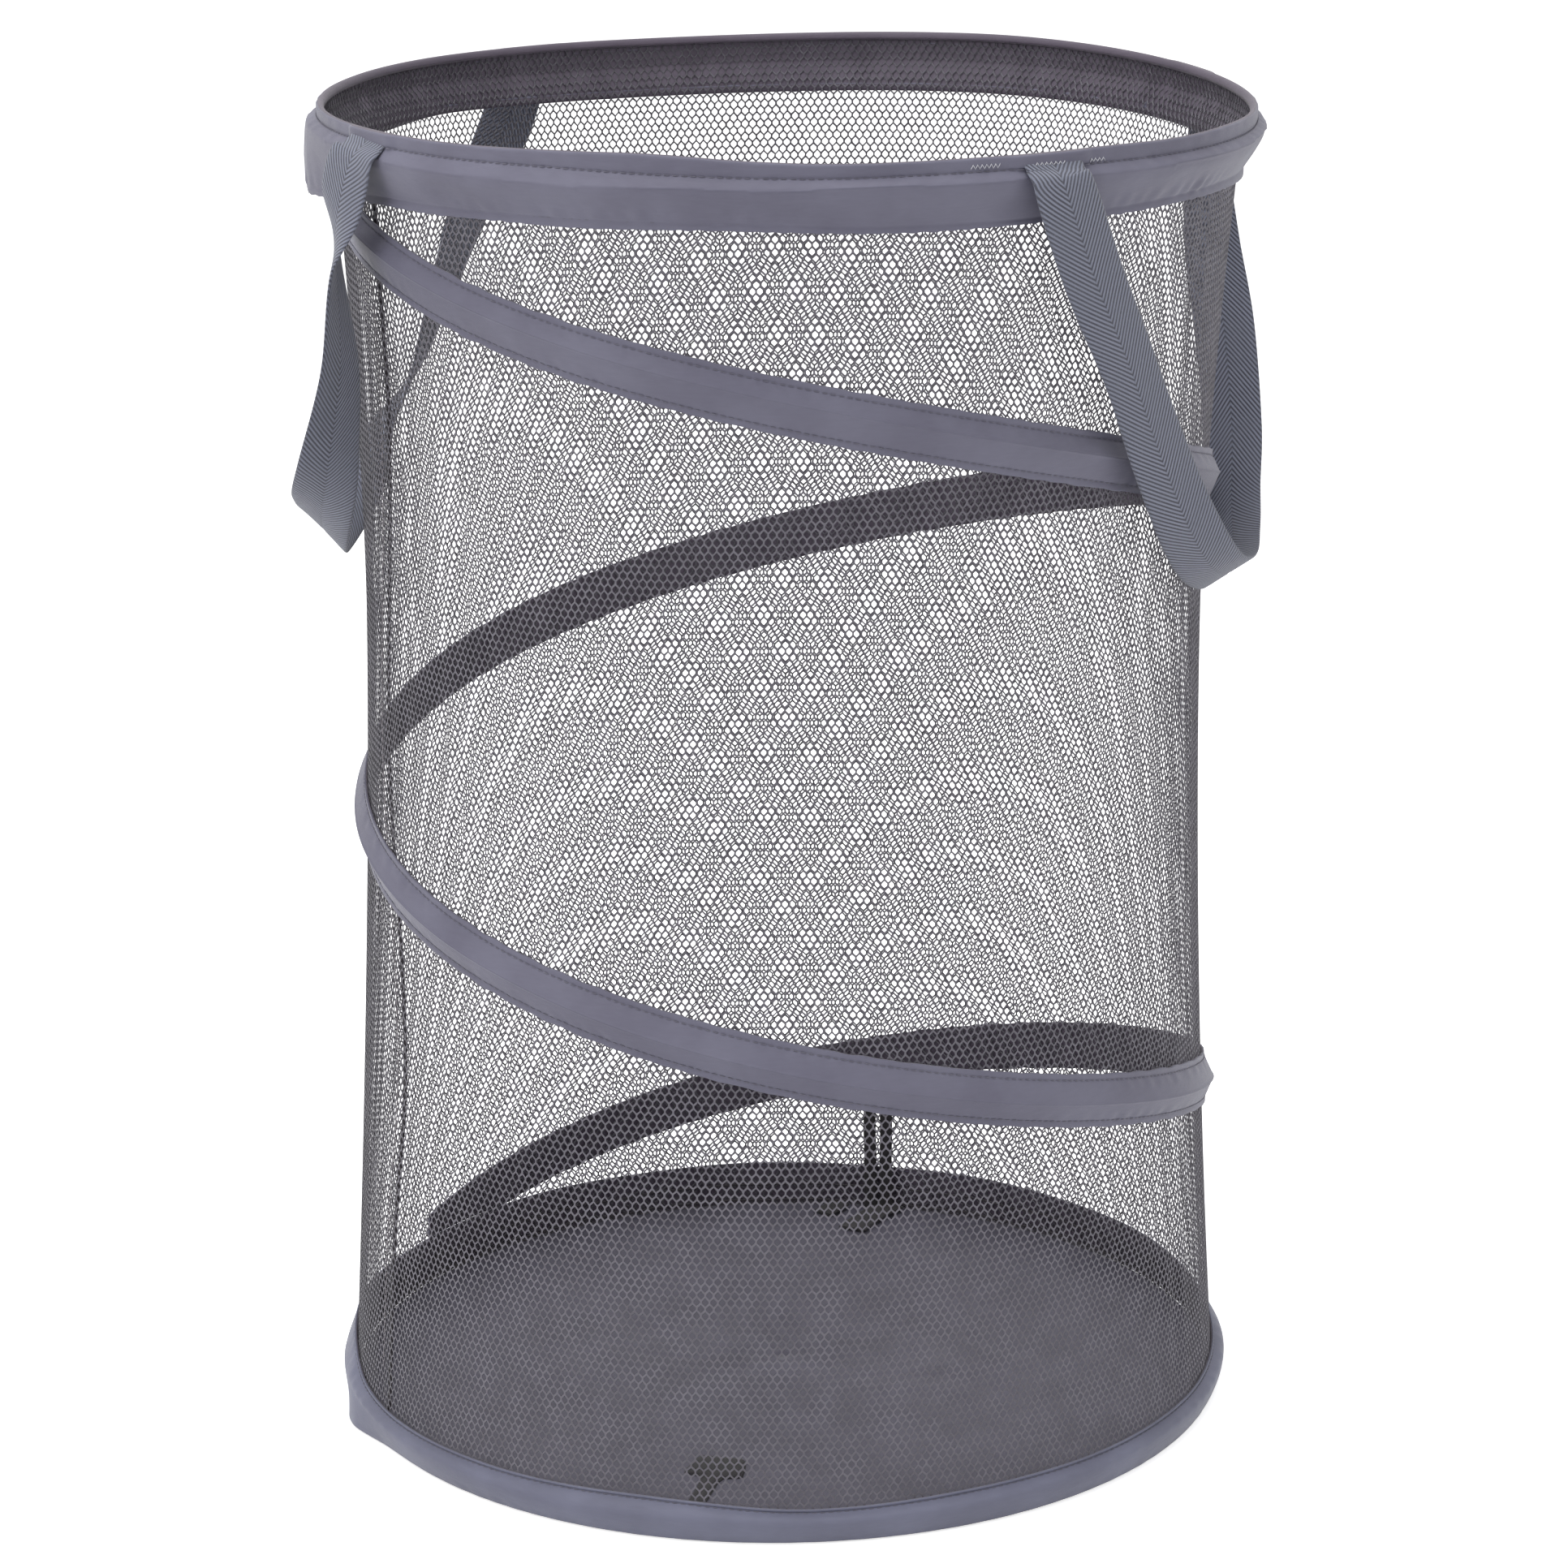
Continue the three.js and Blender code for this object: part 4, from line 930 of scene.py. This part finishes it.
# Places on each loop: azimuth, share of the drop, stand-off as a share of the webbing's width (None at
# the sewn root), turn of the webbing about the upright, and rise of its outer edge
HANDLE_PLACES = {
    "left": [
        (-58, 0, None, 4, 0), (-58, 0.0125, -0.108, 6, 0), (-58, 0.03, 0.05, 10, 0), (-60, 0.1, 0.12, 12, 0),
        (-63, 0.245, 0.08, -27, 0), (-64, 0.48, 0, -55, 0), (-70, 0.72, -0.04, -78, 10),
        (-80, 0.87, -0.16, -84, 35), (-93, 0.96, -0.2, -92, 50), (-106, 0.92, -0.16, -118, 35),
        (-115, 0.82, -0.06, -144, 10), (-124, 0.7, -0.06, -152, 0), (-129, 0.56, -0.04, -160, 0),
        (-135, 0.355, 0, -172, 0), (-142, 0.136, 0.03, -183, 0), (-144.5, 0.03, 0.03, -180, 0),
        (-144.5, 0.0125, -0.108, -180, 0), (-144.5, 0, None, -180, 0),
    ],
    "right": [
        (31, 0, None, 0, 0), (31, 0.0125, -0.108, 0, 0), (31, 0.03, 0.03, 0, 0), (36.5, 0.245, -0.06, -5, 0),
        (42.5, 0.435, -0.12, -5, 0), (48.5, 0.63, -0.16, -14, 0), (56.5, 0.83, -0.2, -30, 5),
        (65, 0.945, -0.28, -56, 20), (77, 1, -0.34, -88, 36), (89, 0.985, -0.34, -118, 28),
        (98, 0.92, -0.2, -132, 8), (103, 0.79, -0.04, -128, 0), (107.5, 0.57, 0, -128, 0),
        (112, 0.38, 0, -145, 0), (114.5, 0.2, 0.03, -166, 0), (115, 0.03, 0.03, -180, 0),
        (115, 0.0125, -0.108, -180, 0), (115, 0, None, -180, 0),
    ],
}


def through(points, steps):
    """Smooth line through points, with centripetal spacing, as rows of numbers."""
    points = np.asarray(points, float)
    ghosts = np.concatenate([[2 * points[0] - points[1]], points, [2 * points[-1] - points[-2]]])
    line = []
    for share in np.linspace(0, 1, steps):
        spot = share * (len(points) - 1)
        number = min(int(spot), len(points) - 2)
        p = ghosts[number:number + 4]
        gaps = [max(np.sum((p[i + 1] - p[i]) ** 2) ** 0.25, 1e-4) for i in range(3)]
        rest = spot - number
        m1 = (p[1] - p[0]) / gaps[0] - (p[2] - p[0]) / (gaps[0] + gaps[1]) + (p[2] - p[1]) / gaps[1]
        m2 = (p[2] - p[1]) / gaps[1] - (p[3] - p[1]) / (gaps[1] + gaps[2]) + (p[3] - p[2]) / gaps[2]
        m1, m2 = m1 * gaps[1], m2 * gaps[1]
        a = 2 * p[1] - 2 * p[2] + m1 + m2
        b = -3 * p[1] + 3 * p[2] - 2 * m1 - m2
        line.append(((a * rest + b) * rest + m1) * rest + p[1])
    return np.array(line)


def unit(vectors):
    return vectors / np.linalg.norm(vectors, axis=1)[:, None]


def directions(azimuth):
    """Outwards and sideways at an azimuth in radians."""
    sine, cosine = math.sin(azimuth), math.cos(azimuth)
    return np.array([sine, -cosine, 0.0]), np.array([cosine, sine, 0.0])


def webbing_section(thickness=WEBBING_THICKNESS):
    """Across and through, as shares of the width and in millimetres, once round the webbing."""
    across = np.array([-0.5, -0.47, -0.35, -0.2, -0.05, 0.0, 0.05, 0.2, 0.35, 0.47, 0.5])
    half = thickness / 2
    through_front = np.array([0.2, 0.85, 1.0, 1.0, 1.0, 0.72, 1.0, 1.0, 1.0, 0.85, 0.2]) * half
    return np.concatenate([across, across[::-1]]), np.concatenate([through_front, -through_front[::-1]])


def webbing_rings(points, widths, thickness=WEBBING_THICKNESS):
    """Rings of webbing along a line of points, with its width direction at each of them."""
    along = unit(np.gradient(points, axis=0))
    widths = unit(widths - along * np.sum(widths * along, axis=1)[:, None])
    thick = np.cross(along, widths)
    across, depth = webbing_section(thickness)
    return (points[:, None] + widths[:, None] * (across * WEBBING_WIDTH)[None, :, None]
            + thick[:, None] * depth[None, :, None])


def settled(points):
    """Points in millimetres moved with the hamper's lean and rim, in metres."""
    radius = np.hypot(points[..., 0], points[..., 1])
    azimuth = np.degrees(np.arctan2(points[..., 0], -points[..., 1]))
    return place(azimuth, radius, points[..., 2])


def strap_map(points, columns):
    lengths = np.concatenate([[0], np.cumsum(np.linalg.norm(np.diff(points, axis=0), axis=1))])
    across = webbing_section()[0] + 0.5
    return np.stack([np.repeat(across[None], len(points), axis=0),
                     np.repeat(lengths[:, None], columns, axis=1)], axis=-1).reshape(-1, 2), lengths[-1]


def handle(side):
    places = HANDLE_PLACES[side]
    spots = []
    for azimuth, drop, stand_off, _, _ in places:
        radius = ROOT_RADIUS if stand_off is None else HANG_RADIUS + stand_off * WEBBING_WIDTH
        turn = math.radians(azimuth)
        start = TOP_STITCH + rim_line(azimuth, RIM_STITCH) + ROOT_COVER if drop < 0.05 else ROOT_HEIGHT
        spots.append((radius * math.sin(turn), -radius * math.cos(turn), start - drop * HANDLE_DROP))
    points = through(spots, HANDLE_STEPS)
    lay = through([(azimuth, turn, rise) for azimuth, _, _, turn, rise in places], HANDLE_STEPS)
    azimuth, turn, rise = np.radians(lay).T
    outwards = np.stack([np.sin(azimuth), -np.cos(azimuth), 0 * azimuth], axis=1)
    sideways = np.stack([np.cos(azimuth), np.sin(azimuth), 0 * azimuth], axis=1)
    level = sideways * np.cos(turn)[:, None] - outwards * np.sin(turn)[:, None]
    widths = level * np.cos(rise)[:, None] + UP * np.sin(rise)[:, None]
    rings = webbing_rings(points, widths)
    strap, length = strap_map(points, rings.shape[1])
    made = swept(f"handle_webbing_{side}", settled(rings), f"{side}_handle", "webbing",
                 False, {"Strap": strap})
    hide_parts(f"handle_{side}")
    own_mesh(made)


def handle_root(side, end, azimuth):
    """End of the webbing, folded twice, pressed flat and sewn in between the rim strip's layers."""
    low = TOP_STITCH + float(rim_line(azimuth, RIM_STITCH)) + 0.2
    high = HEIGHT + float(rim_line(azimuth, RIM_EDGE)) - 0.6
    layers = [ROOT_RADIUS + 0.1, ROOT_RADIUS - 0.5, ROOT_RADIUS - 1.1]
    line = through([
        (layers[0], low), (layers[0], high - 0.4), (layers[0] - 0.3, high), (layers[1], high - 0.4),
        (layers[1], low + 0.4), (layers[1] - 0.3, low), (layers[2], low + 0.4), (layers[2], high),
    ], 48)
    outwards, sideways = directions(math.radians(azimuth))
    points = line[:, :1] * outwards + line[:, 1:] * UP
    rings = webbing_rings(points, np.repeat(sideways[None], len(points), axis=0), PRESSED_THICKNESS)
    # the strip is round, so the webbing follows it
    radius = np.hypot(rings[..., 0], rings[..., 1])
    bend = line[:, :1] / np.cos(np.arctan2(rings @ sideways, line[:, :1])) - line[:, :1]
    rings = rings * (1 - (bend / radius))[..., None] * np.array([1, 1, 0]) + rings * np.array([0, 0, 1])
    strap, length = strap_map(points, rings.shape[1])
    made = swept(f"root_webbing_{side}_{end}", settled(rings), "top", "webbing", False,
                 {"Strap": strap})
    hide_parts(f"handle_tack_{side}_{end}")


# The zigzags at the right front root: first and last azimuth, height, rise, strokes
BAR_TACKS = [
    ("a", 20.6, 24.2, 524.6, 0.7, 13),
    ("b", 28.4, 32.4, 524.2, 0.6, 13),
    ("c", 36.2, 38.6, 524.0, 0.6, 8),
]


def bar_tack(name, first, last, z, rise, count):
    """A zigzag of light thread on the rim's upper strip, over the webbing's sewn end."""
    thick = 0.55
    spots = []
    for number in range(count + 1):
        azimuth = first + (last - first) * number / count
        spots.append((azimuth, z + (rise if number % 2 else -rise)))
    bars = []
    for (a0, z0), (a1, z1) in zip(spots, spots[1:]):
        bar = []
        for share in (0.0, 0.5, 1.0):
            azimuth, height = a0 + (a1 - a0) * share, z0 + (z1 - z0) * share
            radius = wall(min(height, HEIGHT)) + STRIP + 0.1 + (0.15 if share == 0.5 else 0)
            radius += ROOT_SWELL * root_swell(azimuth)
            for out, up in DIAMOND:
                bar.append(place(azimuth, radius + out * thick / 2, height + up * thick / 2))
        bars.append(bar)
    thread_bars(name, bars, "top", "light_thread")


# Closure ties


# Ribbon, once round its section: shares of its width and of its thickness
RIBBON_SECTION = [(-0.5, 0.15), (-0.42, 0.5), (0.42, 0.5), (0.5, 0.15), (0.5, -0.15), (0.42, -0.5),
                  (-0.42, -0.5), (-0.5, -0.15)]


def ribbon_rings(points, widths, depths, width, thick):
    return np.stack([points + widths * a * width + depths * b * thick for a, b in RIBBON_SECTION], axis=1)


def flat_ribbon(name, line, width, thick, body):
    """Ribbon lying flat through a line of points in millimetres."""
    points = through(line, 40)
    along = unit(np.gradient(points, axis=0))
    widths = unit(np.cross(along, UP))
    rings = ribbon_rings(points, widths, np.cross(widths, along), width, thick)
    made = swept(name, settled(rings), body, "ribbon")
    return made


def loose_ends():
    """The rear tie's two tails, lying on the floor cloth."""
    long_tail = [(50, 168, 3.4), (43, 160, 3.2), (35, 148, 2.9), (31, 140, 2.9)]
    short_tail = [(26, 171, 3.4), (22, 165, 3.1), (18, 160, 2.9)]
    flat_ribbon("tie_tail_a", long_tail, 13.0, 0.9, "base")
    flat_ribbon("tie_tail_b", short_tail, 10.2, 0.9, "base")


def painted_shadow_lines():
    """Two dark rings low on the inside of the back, painted shadow lines: under the fold over the hoop and
    at the floor cloth's seam.
    """
    azimuths = np.linspace(0, 360, 480, endpoint=False)[:, None]
    angles = np.radians(np.arange(0, 360, 60))
    # thin dark cords of binding cloth stand in for the shadow lines
    for name, z, inward in (("painted_shadow_line_low", 3.4, 1.9), ("painted_shadow_line_high", 11.0, 1.7)):
        wander = Ripple(61, 5, 30)(azimuths[:, 0])[:, None]
        out = wall(z) - inward + 0.4 * np.cos(angles)[None]
        up = z + 0.5 * wander + 0.45 * np.sin(angles)[None]
        made = swept(name, place(azimuths, out, up), "base", "binding", True)
        fold_with_hamper(made)


REAR_TIE_AZIMUTH = 165.4
REAR_TIE_REACH = 172.4
REAR_RIBBON_WIDTH = 5.6
FRONT_TIE_TURN = -13.4
FRONT_TAB_START = 176.3


def rear_tie():
    """Two legs of ribbon that stand against the inside of the net and meet in a loop."""
    out, side = directions(math.radians(REAR_TIE_AZIMUTH))
    shape = [(-3.6, 2.3), (-3.7, 12), (-3.5, 26), (-3.8, 42), (-3.2, 50), (0, 54.6), (3.2, 50), (3.8, 42),
             (3.5, 26), (3.7, 12), (3.6, 2.3)]
    line = [out * (REAR_TIE_REACH - 0.02 * z) + side * x + UP * z for x, z in shape]
    # the ribbon lies flat against the net, so its width turns with the line in that plane
    points = through(line, 90)
    widths = np.cross(unit(np.gradient(points, axis=0)), out)
    rings = ribbon_rings(points, widths, out, REAR_RIBBON_WIDTH, 1.1)
    made = swept("tie_ribbon_rear", settled(rings), "rear_tie", "ribbon")
    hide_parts("closure_tie_rear")


# The front tab across: share of its half width, height
TAB_SECTION = [(-1, 1.9), (-0.94, 2.6), (0, 2.75), (0.94, 2.6), (1, 1.9), (0.94, 1.62), (-0.94, 1.62)]


def front_tie():
    """A tab with a wide head that lies on the floor cloth."""
    out, side = directions(math.radians(FRONT_TIE_TURN))
    stations = [(0, 3.5), (8, 3.4), (20, 3.5), (34, 3.6), (46, 3.8), (50, 5.2), (51.5, 10.6), (53, 12.0),
                (58, 11.6), (63, 10.8), (66.5, 9.9), (68, 8.4)]
    rows = []
    for reach, half in stations:
        middle = out * FRONT_TAB_START - out * reach + UP * 0.35 * math.sin(reach / 9)
        rows.append([middle + side * half * share + UP * height for share, height in TAB_SECTION])
    made = swept("tie_tab_front", settled(np.array(rows)), "front_tie", "ribbon")
    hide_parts("closure_tie_front")


# Assembly

net_wall()
seam_binding()
seam_stitches()
top_sleeve()
bottom_sleeve()
spring_wire()
spiral_sleeve()
floor_cloth()
for side, (front, rear) in ROOT_AZIMUTHS.items():
    handle_root(side, "front", front)
    handle_root(side, "rear", rear)
    handle(side)
for letter, first, last, z, rise, count in BAR_TACKS:
    bar_tack(f"bar_tack_right_{letter}", first, last, z, rise, count)
rear_tie()
front_tie()
loose_ends()
painted_shadow_lines()

for name in ("top_hoop_wire", "top_hoop_ferrule", "bottom_hoop_wire", "bottom_hoop_ferrule"):
    for material_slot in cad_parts[name].material_slots:
        material_slot.material = FINISHES["steel"]

# Studio

SEEN_WHITE = 1.0
WORLD_LIGHT = 0.53
FLOOR_GLOW = 0.66
FLOOR_REACH = 14.0
FLOOR_LEVEL = -0.0004
# Lamps: name, place, what it points at, width of its disk, watts
LAMPS = [
    ("overhead_softbox", (-0.4, -0.2, 2.6), (0, 0, 0.2), 2.4, 34),
    ("left_softbox", (-2.2, -1.9, 1.7), (0, 0, 0.3), 1.6, 22),
    ("right_softbox", (2.4, -1.2, 1.2), (0, 0, 0.3), 1.6, 6.5),
]


def studio():
    scene = bpy.context.scene
    scene.view_settings.view_transform = "Standard"
    world = bpy.data.worlds.new("studio_world")
    world.use_nodes = True
    tree = world.node_tree
    background = tree.nodes["Background"]
    background.inputs["Color"].default_value = (1, 1, 1, 1)
    path = tree.nodes.new("ShaderNodeLightPath")
    seen = tree.nodes.new("ShaderNodeMath")
    seen.operation = "MAXIMUM"
    seen_through = tree.nodes.new("ShaderNodeMath")
    seen_through.operation = "MAXIMUM"
    tree.links.new(path.outputs["Is Camera Ray"], seen.inputs[0])
    tree.links.new(path.outputs["Is Glossy Ray"], seen.inputs[1])
    tree.links.new(seen.outputs[0], seen_through.inputs[0])
    tree.links.new(path.outputs["Is Transmission Ray"], seen_through.inputs[1])
    strength = tree.nodes.new("ShaderNodeMapRange")
    strength.inputs["To Min"].default_value = WORLD_LIGHT
    strength.inputs["To Max"].default_value = SEEN_WHITE
    tree.links.new(seen_through.outputs[0], strength.inputs["Value"])
    tree.links.new(strength.outputs[0], background.inputs["Strength"])
    scene.world = world


def soft_light(name, spot, aim, size, watts):
    lamp = bpy.data.lights.new(name, "AREA")
    lamp.shape = "DISK"
    lamp.size = size
    lamp.energy = watts
    made = bpy.data.objects.new(name, lamp)
    made.location = spot
    made.rotation_euler = (Vector(aim) - Vector(spot)).to_track_quat("-Z", "Y").to_euler()
    bpy.context.scene.collection.objects.link(made)


def floor_stage():
    """Pale floor that keeps the hamper's shadow."""
    finish = Finish("studio_floor")
    path = finish.node("ShaderNodeLightPath", {}, {})
    seen = finish.math("MAXIMUM", Signal(finish, path.outputs["Is Camera Ray"]),
                       Signal(finish, path.outputs["Is Glossy Ray"]))
    finish.surface(Base_Color=paint(240, 240, 240), Roughness=0.9, Emission_Color=(1, 1, 1, 1),
                   Emission_Strength=seen * FLOOR_GLOW)
    mesh = bpy.data.meshes.new("studio_floor")
    signs = [(-1, -1), (1, -1), (1, 1), (-1, 1)]
    corners = [(x * FLOOR_REACH, y * FLOOR_REACH, FLOOR_LEVEL) for x, y in signs]
    mesh.from_pydata(corners, [], [(0, 1, 2, 3)])
    mesh.materials.append(finish.material)
    made = bpy.data.objects.new("studio_floor", mesh)
    bpy.context.scene.collection.objects.link(made)


studio()
for name, spot, aim, size, watts in LAMPS:
    soft_light(name, spot, aim, size, watts)
floor_stage()
